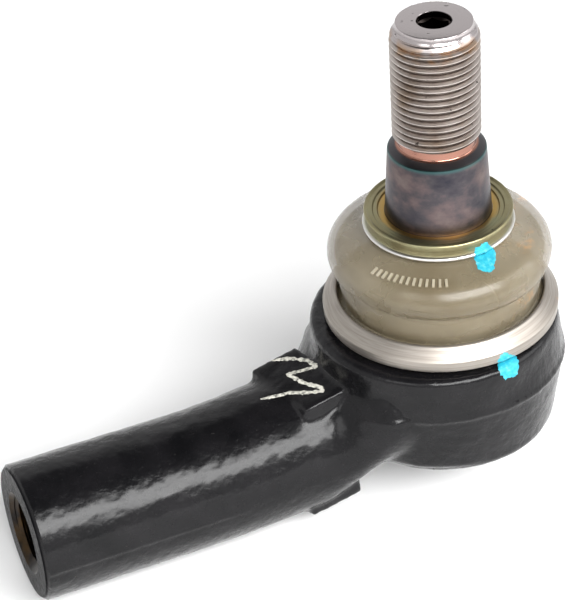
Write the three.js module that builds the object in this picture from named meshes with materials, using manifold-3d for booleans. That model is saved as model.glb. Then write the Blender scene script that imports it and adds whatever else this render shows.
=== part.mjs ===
// Outer tie rod end: a forged steel ball joint with a tapered, threaded stud and a female rod socket.
// Millimetres, +Z up along the stud. Origin: centre of the closing plate's outer face.
// The rod socket points along -X.
import * as THREE from 'three';
import { mergeVertices } from 'three/addons/utils/BufferGeometryUtils.js';
import Module from 'manifold-3d';

const wasm = await Module();
wasm.setup();

// ---------------------------------------------------------------- driving sizes

// Clearances
const GAP = 0.3;                    // between pieces that touch on the real joint
const SWING = THREE.MathUtils.degToRad(25);      // stud swing to each side
const SWING_MARGIN = THREE.MathUtils.degToRad(4);

// Ball stud
const BALL_RADIUS = 14;
const BALL_FLAT_DEPTH = 11.5;       // ball centre to the flat on its underside
const NECK_RADIUS = 7.3;
const NECK_FLARE_LENGTH = 4.5;
const TAPER_RATIO = 1 / 8;          // on the diameter
const TAPER_SMALL_RADIUS = 10.08;
const TAPER_LENGTH = 18.3;
const TAPER_BREAK = 0.3;            // the small end's broken edge
const GROOVE_DEPTH = 1.05;          // run-out between taper and thread
const GROOVE_LENGTH = 1.7;
const GROOVE_SHOULDER = 1.1;
const GROOVE_ROUND = 0.4;
const THREAD_RADIUS = 9;            // M18 x 1.5
const THREAD_PITCH = 1.5;
const THREAD_LENGTH = 22.4;
const TIP_DRAW = 1.3;               // how much the tip draws in from the thread
const TIP_LENGTH = 3.4;
const TIP_LAND = 0.9;               // straight part of the tip below its flat face
const HEX_FLATS = 6;
const HEX_DEPTH = 7;
const HEX_MOUTH_RADIUS = 3.5;
const HEX_MOUTH_DEPTH = 0.5;

// Ball seats, preload spring and closing plate
const SEAT_WALL = 3.9;
const SEAT_FLOOR = 1.7;             // lower seat's height below its socket
const SEAT_EDGE = 1;                // lower seat's bottom edge
const SEAT_CHAMFER = 2.4;           // upper seat's top edge, and the bore's to suit
const GREASE_GROOVES = 6;
const GREASE_GROOVE_WIDTH = 2.2;
const GREASE_GROOVE_DEPTH = 1;
const SPRING_BORE_CLEARANCE = 0.4;  // its bore's radius beyond the lower seat's
const SPRING_THICKNESS = 1;
const SPRING_DISH = 0.9;
const PLATE_THICKNESS = 2.5;
const PLATE_STEP = 0.6;             // how far its rim stands back from its face
const PLATE_LEDGE = 1.9;            // how far the plate overlaps the bore's shoulder
const PLATE_DIMPLE_RADIUS = 7;
const PLATE_DIMPLE_DEPTH = 0.6;
const SEAL_CORD = 1.4;

// Forged body
const HOUSING_WALL = 7.5;           // at the parting line
const HOUSING_DRAFT = 1.3;          // how much the wall draws in below its shoulder
const HOUSING_FOOT_DRAW = 2;        // how much it draws in at the rolled lip
const HOUSING_LIP_DROP = 0.9;
const HOUSING_LIP_REACH = 1.2;
const HOUSING_EDGE = 1.6;
const HOUSING_FOOT_EDGE = 2.6;
const PARTING_HEIGHT = 15.5;
const PARTING_RIDGE = 0.25;
const WEB_OFFSET = 1.9;             // the shoulder's extra reach on the stem's side
const SHOULDER_THICKNESS = 5.3;
const SPIGOT_HEIGHT = 5.6;
const SPIGOT_REACH = 1.06;          // its radius beyond the bore's
const STEM_LENGTH = 96;             // stud axis to the socket's end face
const STEM_RADIUS = 14.5;
const STEM_HEIGHT = 0.4;            // stem axis above the closing plate's face
const STEM_EDGE = 0.7;
const NECK_START = 52;              // where the straight stem ends
const NECK_SWELL = 0.4;             // how much thicker the neck is than the stem
const NECK_LIFT = 2;                // how far its axis has risen by then
const PAD_START = 27.5;
const PAD_LENGTH = 10.5;
const PAD_HALF_WIDTH = 9;
const PAD_SKEW = 2.2;
const PAD_TOP = 16.7;
const PAD_RISE = 2.6;
const PAD_BOTTOM = -11.1;
const PAD_DRAFT = 4.5;
const ROD_THREAD_RADIUS = 8;        // M16 x 1.5 female
const ROD_THREAD_PITCH = 1.5;
const ROD_THREAD_LENGTH = 36;
const ROD_MOUTH_RELIEF = 0.78;      // countersink beyond the thread
const DRILL_POINT = 0.6;            // depth of a drill's point over its radius

// Dust boot and its rings
const BOOT_WALL = 1.5;
const BOOT_RISE = 16.2;             // housing top to the collar's lower edge
const BOOT_BULGE_INSET = 2.255;     // the bulge's radius, less than the ring's
const BOOT_BEAD = 2.2;
const BOOT_CREASE_DEPTH = 3.1;      // the crease's radius, less than the bulge's
const BOOT_CREASE_HEIGHT = 0.33;    // shares of the height from ring to collar
const BOOT_BULGE_HEIGHT = 0.62;
const RING_WALL = 1.2;
const RING_HEIGHT = 4.9;
const RING_CONE = 2.4;
const RING_EDGE = 0.4;
const RING_SKIRT = 0.45;            // share of its height below the cone
const COLLAR_HEIGHT = 3.7;
const COLLAR_FLANGE = 4.4;
const COLLAR_WALL = 1;
const COLLAR_LIP = 0.3;
const COLLAR_EDGE = 0.5;
const COLLAR_GROOVES = 3;
const COLLAR_GROOVE_DEPTH = 0.2;
const INSERT_WIRE = 0.9;

const ROUND = 44;                   // sides on a turned piece
const COARSE_ROUND = 28;            // sides on an inner or hidden piece
const THREAD_ROUND = 22;
const CUT_MARGIN = 1;               // how far a cutter passes the face it cuts

// ---------------------------------------------------------------- fits worked out from them

const springTop = PLATE_THICKNESS + GAP + SPRING_THICKNESS + SPRING_DISH;
const seatBase = springTop + GAP;
const ballHeight = seatBase + SEAT_FLOOR + GAP + BALL_FLAT_DEPTH;
const socketRadius = BALL_RADIUS + GAP;
const seatRadius = socketRadius + SEAT_WALL;
const seatBoreRadius = Math.sqrt(socketRadius ** 2 - (BALL_FLAT_DEPTH + GAP) ** 2);
const springBoreRadius = seatBoreRadius + SPRING_BORE_CLEARANCE;
const boreRadius = seatRadius + GAP;
const neckAngle = Math.asin(NECK_RADIUS / BALL_RADIUS);
const lipAngle = neckAngle + SWING + SWING_MARGIN;
const seatTop = ballHeight + socketRadius * Math.cos(lipAngle);
const seatSplit = ballHeight - GAP / 2;
const shoulderHeight = seatTop + GAP;
const housingTop = shoulderHeight + SHOULDER_THICKNESS;
const housingShoulder = housingTop - SPIGOT_HEIGHT;
const plateRadius = boreRadius + PLATE_LEDGE;
const plateBoreRadius = plateRadius + GAP;
const lipInner = plateRadius - HOUSING_LIP_REACH;
const plateFaceRadius = lipInner - GAP - PLATE_STEP;
const ledgeHeight = PLATE_THICKNESS + SEAL_CORD + 2 * GAP;

// The opening lets the neck swing: the neck's side at full swing, plus a gap, at each height.
const openingAt = (z) => NECK_RADIUS / Math.cos(SWING) + (z - ballHeight) * Math.tan(SWING) + 2 * GAP;
const ballAtShoulder = Math.sqrt(BALL_RADIUS ** 2 - (shoulderHeight - ballHeight) ** 2);
const openingBottom = Math.max(openingAt(shoulderHeight), ballAtShoulder + GAP);
const openingTop = openingAt(housingTop);
const spigotRadius = boreRadius + SPIGOT_REACH;
const housingRadius = boreRadius + HOUSING_WALL;

const collarBase = housingTop + BOOT_RISE;
const collarTop = collarBase + COLLAR_HEIGHT;
const taperBase = collarBase - GAP;
const taperSlope = TAPER_RATIO / 2;
const taperTop = taperBase + TAPER_LENGTH;
const taperAt = (z) => TAPER_SMALL_RADIUS + (taperTop - z) * taperSlope;
const grooveStart = taperTop + GROOVE_SHOULDER;
const threadStart = grooveStart + GROOVE_LENGTH;
const threadEnd = threadStart + THREAD_LENGTH;
const studEnd = threadEnd + TIP_LENGTH;
const grooveRadius = THREAD_RADIUS - GROOVE_DEPTH;
const tipRadius = THREAD_RADIUS - TIP_DRAW;
const threadDepth = 0.6134 * THREAD_PITCH;
const rodMinorRadius = ROD_THREAD_RADIUS - 0.5413 * ROD_THREAD_PITCH;
const rodMouthRadius = ROD_THREAD_RADIUS + ROD_MOUTH_RELIEF;

// ---------------------------------------------------------------- building blocks

// Leaves only the position, joins shared vertices, drops slivers on the axis and turns the faces outwards.
function closed(geometry) {
  const bare = geometry.clone();
  bare.deleteAttribute('normal');
  bare.deleteAttribute('uv');
  const merged = mergeVertices(bare, 1e-4);
  const p = merged.getAttribute('position');
  const kept = [];
  let volume = 0;
  const [a, b, c] = [new THREE.Vector3(), new THREE.Vector3(), new THREE.Vector3()];
  for (let i = 0; i < merged.index.count; i += 3) {
    const tri = [0, 1, 2].map((k) => merged.index.getX(i + k));
    if (tri[0] === tri[1] || tri[1] === tri[2] || tri[2] === tri[0]) continue;
    a.fromBufferAttribute(p, tri[0]);
    b.fromBufferAttribute(p, tri[1]);
    c.fromBufferAttribute(p, tri[2]);
    volume += a.dot(b.cross(c));
    kept.push(...tri);
  }
  if (volume < 0) {
    for (let i = 0; i < kept.length; i += 3) [kept[i], kept[i + 1]] = [kept[i + 1], kept[i]];
  }
  merged.setIndex(kept);
  return merged;
}

function solid(geometry) {
  const g = closed(geometry);
  return new wasm.Manifold(new wasm.Mesh({
    numProp: 3,
    vertProperties: new Float32Array(g.getAttribute('position').array),
    triVerts: new Uint32Array(g.index.array),
  }));
}

function geometryOf(manifold) {
  const mesh = manifold.getMesh();
  const g = new THREE.BufferGeometry();
  g.setAttribute('position', new THREE.BufferAttribute(new Float32Array(mesh.vertProperties), 3));
  g.setIndex(new THREE.BufferAttribute(new Uint32Array(mesh.triVerts), 1));
  return g;
}

// Turns an outline of [radius, height] pairs round Z.
function turned(outline, sides = ROUND) {
  const points = outline.map(([r, z]) => new THREE.Vector2(r, z));
  return new THREE.LatheGeometry(points, sides).rotateX(Math.PI / 2);
}

// The same, for a ring whose outline closes on itself.
function turnedRing(outline, sides = ROUND) {
  return turned([...outline, outline[0]], sides);
}

// Points on an arc, centre (r, z), from one angle to another, in degrees from the outward radius.
function arc(r, z, radius, from, to, steps) {
  return Array.from({ length: steps + 1 }, (_, i) => {
    const angle = THREE.MathUtils.degToRad(from + ((to - from) * i) / steps);
    return [r + radius * Math.cos(angle), z + radius * Math.sin(angle)];
  });
}

// Skins a stack of rings, each the same number of points, and closes both ends.
function skinned(rings) {
  const n = rings[0].length;
  const vertices = rings.flat();
  const index = [];
  for (let k = 0; k + 1 < rings.length; k += 1) {
    for (let i = 0; i < n; i += 1) {
      const j = (i + 1) % n;
      index.push(k * n + i, k * n + j, (k + 1) * n + j);
      index.push(k * n + i, (k + 1) * n + j, (k + 1) * n + i);
    }
  }
  for (const k of [0, rings.length - 1]) {
    const centre = new THREE.Vector3();
    rings[k].forEach((v) => centre.addScaledVector(v, 1 / n));
    vertices.push(centre);
    for (let i = 0; i < n; i += 1) {
      const [a, b] = [k * n + i, k * n + ((i + 1) % n)];
      if (k === 0) index.push(vertices.length - 1, b, a);
      else index.push(vertices.length - 1, a, b);
    }
  }
  const g = new THREE.BufferGeometry().setFromPoints(vertices);
  g.setIndex(index);
  return g;
}

// A rod whose skin is one helical groove, a crest and a root in every pitch.
function threadedRod(crest, depth, pitch, bottom, top, sides) {
  const shares = [0, 0.5];
  const radii = [crest, crest - depth];
  const per = shares.length;
  const turns = Math.ceil((top - bottom) / pitch);
  const last = turns * per;
  const vertices = [];
  const find = new Map();
  const place = (row, column) => {
    const z = bottom + pitch * (Math.floor(row / per) + shares[row % per] + column / sides);
    const angle = (2 * Math.PI * column) / sides;
    const r = radii[row % per];
    find.set(`${row},${column}`, vertices.length);
    vertices.push(new THREE.Vector3(r * Math.cos(angle), r * Math.sin(angle), z));
  };
  for (let row = 0; row <= last + per; row += 1) place(row, 0);
  for (let row = 0; row <= last; row += 1) {
    for (let column = 1; column < sides; column += 1) place(row, column);
  }
  const at = (row, column) => find.get(column === sides ? `${row + per},0` : `${row},${column}`);
  const index = [];
  for (let row = 0; row < last; row += 1) {
    for (let column = 0; column < sides; column += 1) {
      index.push(at(row, column), at(row, column + 1), at(row + 1, column + 1));
      index.push(at(row, column), at(row + 1, column + 1), at(row + 1, column));
    }
  }
  for (const [row, z, flip] of [[0, bottom - pitch, true], [last, top + 3 * pitch, false]]) {
    const loop = [];
    for (let column = 0; column <= sides; column += 1) loop.push(at(row, column));
    for (let step = per - 1; step > 0; step -= 1) loop.push(at(row + step, 0));
    vertices.push(new THREE.Vector3(0, 0, z));
    const centre = vertices.length - 1;
    loop.forEach((v, i) => {
      const next = loop[(i + 1) % loop.length];
      if (flip) index.push(centre, next, v);
      else index.push(centre, v, next);
    });
  }
  const g = new THREE.BufferGeometry().setFromPoints(vertices);
  g.setIndex(index);
  return g;
}

const smooth = (t) => t * t * (3 - 2 * t);
const mix = (a, b, t) => a + (b - a) * t;
const part = (value, from, to) => smooth(Math.min(1, Math.max(0, (value - from) / (to - from))));

// ---------------------------------------------------------------- forged body

// The stem and neck, lofted from the stud axis out to the socket's end face.
function stemLoft() {
  const sides = 32;
  const inside = boreRadius * 0.3;
  const stations = [STEM_LENGTH, STEM_LENGTH - STEM_EDGE, NECK_START + 8, NECK_START];
  const steps = 9;
  for (let i = 1; i <= steps; i += 1) stations.push(NECK_START + ((boreRadius - NECK_START) * i) / steps);
  stations.push(inside);
  const rings = stations.map((x) => {
    const toNeck = part(x, NECK_START + 8, PAD_START);
    const toHousing = part(x, PAD_START + 7, boreRadius);
    const toShoulder = part(x, PAD_START + 2, PAD_START - 7);
    const half = STEM_RADIUS + NECK_SWELL * toNeck - (x === STEM_LENGTH ? STEM_EDGE : 0);
    const width = mix(half, half + (housingRadius - STEM_RADIUS) * 0.55, toHousing);
    const axis = STEM_HEIGHT + NECK_LIFT * toNeck;
    const top = mix(axis + half, housingShoulder - CUT_MARGIN / 2, toShoulder);
    const bottom = mix(axis - half, HOUSING_EDGE - HOUSING_LIP_DROP, toHousing);
    return Array.from({ length: sides }, (_, i) => {
      const angle = (2 * Math.PI * i) / sides;
      const z = (top + bottom) / 2 + ((top - bottom) / 2) * Math.cos(angle);
      const side = Math.sign(Math.sin(angle)) * Math.abs(Math.sin(angle)) ** mix(1, 0.7, toShoulder);
      return new THREE.Vector3(-x, width * side, z);
    });
  });
  return skinned(rings);
}

// The flat-topped forging pad across the neck, with its matching boss below.
function neckPad() {
  const rings = [];
  const middle = (PAD_TOP + PAD_BOTTOM) / 2;
  const levels = [[PAD_BOTTOM, 0], [middle, 1], [PAD_TOP, 0]];
  for (const [z, out] of levels) {
    const w = PAD_HALF_WIDTH + out * PAD_DRAFT;
    const near = PAD_START - out;
    const far = PAD_START + PAD_LENGTH + out;
    rings.push([
      new THREE.Vector3(-near + PAD_SKEW, -w, z + PAD_RISE),
      new THREE.Vector3(-near - PAD_SKEW, w, z + PAD_RISE),
      new THREE.Vector3(-far - PAD_SKEW, w, z),
      new THREE.Vector3(-far + PAD_SKEW, -w, z),
    ]);
  }
  return skinned(rings);
}

function forgedBody() {
  const foot = housingRadius - HOUSING_FOOT_DRAW;
  const shoulder = housingRadius - HOUSING_DRAFT;
  const outside = [
    [0, -HOUSING_LIP_DROP],
    ...arc(foot - HOUSING_FOOT_EDGE, HOUSING_FOOT_EDGE - HOUSING_LIP_DROP, HOUSING_FOOT_EDGE, -90, 0, 4),
    [housingRadius - PARTING_RIDGE, PARTING_HEIGHT - 2 * PARTING_RIDGE],
    [housingRadius, PARTING_HEIGHT],
    [housingRadius - PARTING_RIDGE, PARTING_HEIGHT + 2 * PARTING_RIDGE],
    ...arc(shoulder - HOUSING_EDGE, housingShoulder - HOUSING_EDGE, HOUSING_EDGE, 0, 90, 4),
    [spigotRadius, housingShoulder],
    [spigotRadius, housingTop],
    [0, housingTop],
  ];
  const cavity = [
    [0, -2 * HOUSING_LIP_DROP],
    [lipInner, -2 * HOUSING_LIP_DROP],
    [lipInner, PLATE_STEP - GAP],
    [plateBoreRadius, PLATE_STEP - GAP],
    [plateBoreRadius, ledgeHeight],
    [boreRadius, ledgeHeight],
    [boreRadius, shoulderHeight - SEAT_CHAMFER],
    [boreRadius - SEAT_CHAMFER, shoulderHeight],
    [openingBottom, shoulderHeight],
    [openingTop, housingTop],
    [openingTop + GAP, housingTop + CUT_MARGIN],
    [0, housingTop + CUT_MARGIN],
  ];
  const mouthDepth = rodMouthRadius - rodMinorRadius;
  const rodBore = turned([
    [0, -CUT_MARGIN],
    [rodMouthRadius + CUT_MARGIN, -CUT_MARGIN],
    [rodMinorRadius, mouthDepth],
    [rodMinorRadius, ROD_THREAD_LENGTH],
    [0, ROD_THREAD_LENGTH + rodMinorRadius * DRILL_POINT],
  ], COARSE_ROUND).rotateY(Math.PI / 2).translate(-STEM_LENGTH, 0, STEM_HEIGHT);
  const web = turned([
    [0, HOUSING_EDGE],
    [foot, HOUSING_EDGE],
    [housingRadius, PARTING_HEIGHT],
    ...arc(housingRadius - HOUSING_EDGE, housingShoulder - HOUSING_EDGE, HOUSING_EDGE, 0, 90, 3),
    [0, housingShoulder],
  ]).translate(-WEB_OFFSET, 0, -0.1);
  const blank = solid(turned(outside)).add(solid(web)).add(solid(stemLoft())).add(solid(neckPad()));
  return geometryOf(blank.subtract(solid(turned(cavity))).subtract(solid(rodBore)));
}

// ---------------------------------------------------------------- bearing

// Both seats are cut by the same grease grooves, which run up the socket's wall.
function greaseGrooves() {
  const parts = [];
  for (let i = 0; i < GREASE_GROOVES; i += 1) {
    const reach = socketRadius + GREASE_GROOVE_DEPTH;
    const box = new THREE.BoxGeometry(reach, GREASE_GROOVE_WIDTH, 3 * BALL_RADIUS);
    box.translate(reach / 2, 0, ballHeight);
    parts.push(solid(box.rotateZ((2 * Math.PI * i) / GREASE_GROOVES)));
  }
  return parts.reduce((all, one) => all.add(one));
}

function pressureSeat() {
  const lowAngle = THREE.MathUtils.radToDeg(Math.acos(seatBoreRadius / socketRadius));
  const blank = [
    [seatRadius - SEAT_EDGE, seatBase],
    [seatRadius, seatBase + SEAT_EDGE],
    [seatRadius, seatSplit],
    ...arc(0, ballHeight, socketRadius, -0.7, -lowAngle, 6),
    [seatBoreRadius, seatBase],
  ];
  const grooves = greaseGrooves().subtract(solid(turned([
    [0, 0],
    [seatRadius + CUT_MARGIN, 0],
    [seatRadius + CUT_MARGIN, seatBase + SEAT_FLOOR + CUT_MARGIN],
    [0, seatBase + SEAT_FLOOR + CUT_MARGIN],
  ], COARSE_ROUND)));
  return geometryOf(solid(turnedRing(blank, COARSE_ROUND)).subtract(grooves));
}

function ballSeat() {
  const top = 90 - THREE.MathUtils.radToDeg(lipAngle);
  const blank = [
    [seatRadius, seatSplit + GAP],
    [seatRadius, seatTop - SEAT_CHAMFER],
    [seatRadius - SEAT_CHAMFER, seatTop],
    ...arc(0, ballHeight, socketRadius, top, 0.7, 5),
  ];
  const lid = solid(turned([
    [0, seatTop - 2 * CUT_MARGIN],
    [seatRadius + CUT_MARGIN, seatTop - 2 * CUT_MARGIN],
    [seatRadius + CUT_MARGIN, seatTop + 3 * BALL_RADIUS],
    [0, seatTop + 3 * BALL_RADIUS],
  ], COARSE_ROUND));
  return geometryOf(solid(turnedRing(blank, COARSE_ROUND)).subtract(greaseGrooves().subtract(lid)));
}

function preloadSpring() {
  const low = PLATE_THICKNESS + GAP;
  return turnedRing([
    [springBoreRadius, low + SPRING_DISH],
    [seatRadius - SEAT_EDGE, low],
    [seatRadius - SEAT_EDGE, low + SPRING_THICKNESS],
    [springBoreRadius, low + SPRING_DISH + SPRING_THICKNESS],
  ], COARSE_ROUND);
}

function closingPlate() {
  return turned([
    [0, 0],
    [plateFaceRadius, 0],
    [plateFaceRadius + PLATE_STEP, PLATE_STEP],
    [plateRadius, PLATE_STEP],
    [plateRadius, PLATE_THICKNESS],
    [PLATE_DIMPLE_RADIUS + PLATE_DIMPLE_DEPTH, PLATE_THICKNESS],
    [PLATE_DIMPLE_RADIUS, PLATE_THICKNESS - PLATE_DIMPLE_DEPTH],
    [0, PLATE_THICKNESS - PLATE_DIMPLE_DEPTH],
  ]);
}

function plateSeal() {
  const cord = SEAL_CORD / 2;
  return turnedRing(arc(plateRadius - cord, PLATE_THICKNESS + GAP + cord, cord, 0, 315, 7), COARSE_ROUND);
}

// ---------------------------------------------------------------- ball stud

function ballStud() {
  const neckTop = taperBase - NECK_FLARE_LENGTH;
  const flatRadius = Math.sqrt(BALL_RADIUS ** 2 - BALL_FLAT_DEPTH ** 2);
  const low = -THREE.MathUtils.radToDeg(Math.acos(flatRadius / BALL_RADIUS));
  const high = 90 - THREE.MathUtils.radToDeg(neckAngle);
  const flareReach = taperAt(taperBase) - NECK_RADIUS;
  const shank = [
    [0, ballHeight - BALL_FLAT_DEPTH],
    ...arc(0, ballHeight, BALL_RADIUS, low, high, 10),
    [NECK_RADIUS, neckTop - 1],
    [NECK_RADIUS + flareReach * 0.12, neckTop + 1],
    [NECK_RADIUS + flareReach * 0.5, neckTop + NECK_FLARE_LENGTH * 0.62],
    [taperAt(taperBase), taperBase],
    [TAPER_SMALL_RADIUS, taperTop - TAPER_BREAK],
    [TAPER_SMALL_RADIUS - TAPER_BREAK, taperTop],
    [grooveRadius + GROOVE_ROUND, grooveStart],
    [grooveRadius, grooveStart + GROOVE_ROUND],
    [grooveRadius, threadStart + GROOVE_ROUND],
    [0, threadStart + GROOVE_ROUND],
  ];
  const envelope = [
    [0, threadStart],
    [grooveRadius, threadStart],
    [THREAD_RADIUS + GAP, threadStart + 1.2],
    [THREAD_RADIUS + GAP, threadEnd],
    [mix(THREAD_RADIUS, tipRadius, 0.4), studEnd - mix(TIP_LENGTH, TIP_LAND, 0.6)],
    [tipRadius, studEnd - TIP_LAND],
    [tipRadius, studEnd],
    [0, studEnd],
  ];
  const rod = threadedRod(
    THREAD_RADIUS, threadDepth, THREAD_PITCH, threadStart - 2 * THREAD_PITCH, studEnd, THREAD_ROUND,
  );
  const keyCorner = HEX_FLATS / Math.sqrt(3);
  const key = new THREE.CylinderGeometry(keyCorner, keyCorner, HEX_DEPTH + CUT_MARGIN, 6);
  key.rotateX(Math.PI / 2).translate(0, 0, studEnd + (CUT_MARGIN - HEX_DEPTH) / 2);
  const mouth = turned([
    [0, studEnd - HEX_MOUTH_DEPTH],
    [HEX_MOUTH_RADIUS, studEnd - HEX_MOUTH_DEPTH],
    [HEX_MOUTH_RADIUS, studEnd + CUT_MARGIN],
    [0, studEnd + CUT_MARGIN],
  ], 24);
  const thread = solid(rod).intersect(solid(turned(envelope, THREAD_ROUND * 2)));
  const blank = thread.add(solid(turned(shank, THREAD_ROUND * 2)));
  return geometryOf(blank.subtract(solid(key)).subtract(solid(mouth)));
}

// ---------------------------------------------------------------- dust boot and its rings

const ringBase = housingShoulder + 1;
const ringTop = ringBase + RING_HEIGHT;
const ringInner = spigotRadius + GAP + BOOT_BEAD + GAP;
const ringOuter = ringInner + RING_WALL + RING_CONE / 2;
const bootBulge = ringOuter - BOOT_BULGE_INSET;

function bootClampRing() {
  const mid = ringBase + RING_HEIGHT * RING_SKIRT;
  return turnedRing([
    [ringOuter - RING_WALL, ringBase],
    [ringOuter - RING_EDGE, ringBase],
    [ringOuter, ringBase + RING_EDGE],
    [ringOuter, mid],
    [ringOuter - RING_CONE * 0.22, mid + (ringTop - mid) * 0.38],
    [ringOuter - RING_CONE, ringTop - RING_EDGE],
    [ringOuter - RING_CONE - RING_EDGE, ringTop],
    [ringOuter - RING_CONE - 2 * RING_EDGE, ringTop - RING_EDGE],
    [ringOuter - RING_WALL, mid],
  ]);
}

const collarInner = taperAt(collarTop - COLLAR_HEIGHT / 2) + GAP + 0.1;
const collarOuter = taperAt(collarTop) + COLLAR_FLANGE;
const neckBeadOuter = collarOuter - COLLAR_WALL - GAP;
const collarDeck = collarTop - COLLAR_WALL;
const beadTop = collarDeck - GAP;
const insertRadius = (collarInner + neckBeadOuter) / 2;
const insertHeight = collarBase + (beadTop - collarBase) * 0.45;

function bootCollar() {
  const deck = [];
  const width = (collarOuter - collarInner - 2 * COLLAR_EDGE) / COLLAR_GROOVES;
  for (let i = 0; i < COLLAR_GROOVES; i += 1) {
    const start = collarInner + COLLAR_EDGE / 2 + width * i;
    deck.push([start, collarTop - COLLAR_GROOVE_DEPTH * (COLLAR_GROOVES - i)]);
    deck.push([start + width * 0.6, collarTop - COLLAR_GROOVE_DEPTH * (COLLAR_GROOVES - i)]);
  }
  return turnedRing([
    ...deck,
    [collarOuter - COLLAR_EDGE, collarTop],
    [collarOuter, collarTop - COLLAR_EDGE],
    [collarOuter, collarBase + 3 * COLLAR_LIP],
    [collarOuter + COLLAR_LIP, collarBase + COLLAR_LIP],
    [collarOuter, collarBase],
    [collarOuter - COLLAR_WALL, collarBase],
    [collarOuter - COLLAR_WALL, collarDeck],
    [collarInner, collarDeck],
  ]);
}

// The boot's own outer line, from the base bead up to the neck bead.
function bootOuterLine() {
  const creaseHeight = ringTop + (collarBase - ringTop) * BOOT_CREASE_HEIGHT;
  const bulgeHeight = ringTop + (collarBase - ringTop) * BOOT_BULGE_HEIGHT;
  const crease = bootBulge - BOOT_CREASE_DEPTH;
  const rollRadius = ringOuter - RING_CONE - RING_WALL - GAP;
  const roll = (creaseHeight - ringTop) * 0.62;
  const bulge = bootBulge - crease - 0.6;
  return [
    [rollRadius, ringTop - 0.6],
    ...arc(rollRadius - roll, ringTop + roll * 0.9, roll, -10, 60, 3),
    [crease, creaseHeight],
    ...arc(bootBulge - bulge, bulgeHeight, bulge, -70, 50, 5),
    [collarOuter + 2.4, collarBase - 0.9],
    [neckBeadOuter, collarBase - GAP],
  ];
}

function dustBoot() {
  const outer = bootOuterLine();
  const points = outer.map(([r, z]) => new THREE.Vector2(r, z));
  const inner = points.map((p, i) => {
    const before = points[Math.max(0, i - 1)];
    const after = points[Math.min(points.length - 1, i + 1)];
    const along = after.clone().sub(before).normalize();
    return [p.x - along.y * BOOT_WALL, p.y + along.x * BOOT_WALL];
  });
  const slot = INSERT_WIRE / 2 + GAP;
  const sealRadius = taperAt(collarBase) + GAP;
  const bead = [
    [ringOuter - RING_WALL - GAP, ringBase],
    [ringOuter - RING_WALL - GAP, ringBase + RING_HEIGHT * RING_SKIRT],
  ];
  const neck = [
    [neckBeadOuter, beadTop],
    [insertRadius + slot, beadTop],
    [insertRadius + slot, insertHeight - slot],
    [insertRadius - slot, insertHeight - slot],
    [insertRadius - slot, beadTop],
    [collarInner, beadTop],
    [sealRadius, beadTop - 0.8],
    [sealRadius, collarBase - 0.6],
  ];
  const foot = [
    [spigotRadius + GAP, housingTop + GAP],
    [spigotRadius + GAP, ringBase],
  ];
  const inside = inner.slice(1, -1).reverse();
  return turnedRing([...bead, ...outer, ...neck, ...inside, ...foot]);
}

function neckInsert() {
  return turnedRing(arc(insertRadius, insertHeight, INSERT_WIRE / 2, 22.5, 337.5, 7), COARSE_ROUND);
}

// ---------------------------------------------------------------- the assembly

const finishes = {
  blackPaint: { color: 0x17171a, roughness: 0.32, metalness: 0 },
  threadSteel: { color: 0x8e8780, roughness: 0.35, metalness: 1 },
  acetal: { color: 0xe9e6dc, roughness: 0.45, metalness: 0 },
  springSteel: { color: 0x4a4c52, roughness: 0.4, metalness: 1 },
  blackPlate: { color: 0x1b1b1d, roughness: 0.45, metalness: 0 },
  rubber: { color: 0x111111, roughness: 0.8, metalness: 0 },
  boot: { color: 0xb9ac86, roughness: 0.3, metalness: 0 },
  brightRing: { color: 0xcfc8bc, roughness: 0.3, metalness: 1 },
  yellowZinc: { color: 0xa39a5e, roughness: 0.35, metalness: 1 },
};

function piece(name, geometry, finish) {
  const mesh = new THREE.Mesh(geometry, new THREE.MeshStandardMaterial(finishes[finish]));
  mesh.name = name;
  return mesh;
}

const tieRodEnd = new THREE.Group();
tieRodEnd.add(
  piece('forged_body', forgedBody(), 'blackPaint'),
  piece('closing_plate', closingPlate(), 'blackPlate'),
  piece('plate_seal', closed(plateSeal()), 'rubber'),
  piece('preload_spring', closed(preloadSpring()), 'springSteel'),
  piece('pressure_seat', pressureSeat(), 'acetal'),
  piece('ball_seat', ballSeat(), 'acetal'),
  piece('ball_stud', ballStud(), 'threadSteel'),
  piece('dust_boot', closed(dustBoot()), 'boot'),
  piece('boot_clamp_ring', closed(bootClampRing()), 'brightRing'),
  piece('boot_collar', closed(bootCollar()), 'yellowZinc'),
  piece('boot_neck_insert', closed(neckInsert()), 'springSteel'),
);

export default tieRodEnd;
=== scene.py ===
# Outer tie rod end: a forged housing with a female rod socket, a threaded ball stud and a dust boot.
# The sections follow the joint as it is put together, then its studio. Sizes are in millimetres.
import math

import bmesh
import bpy
import numpy as np
from mathutils import Matrix, Vector, noise
from mathutils.bvhtree import BVHTree


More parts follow.
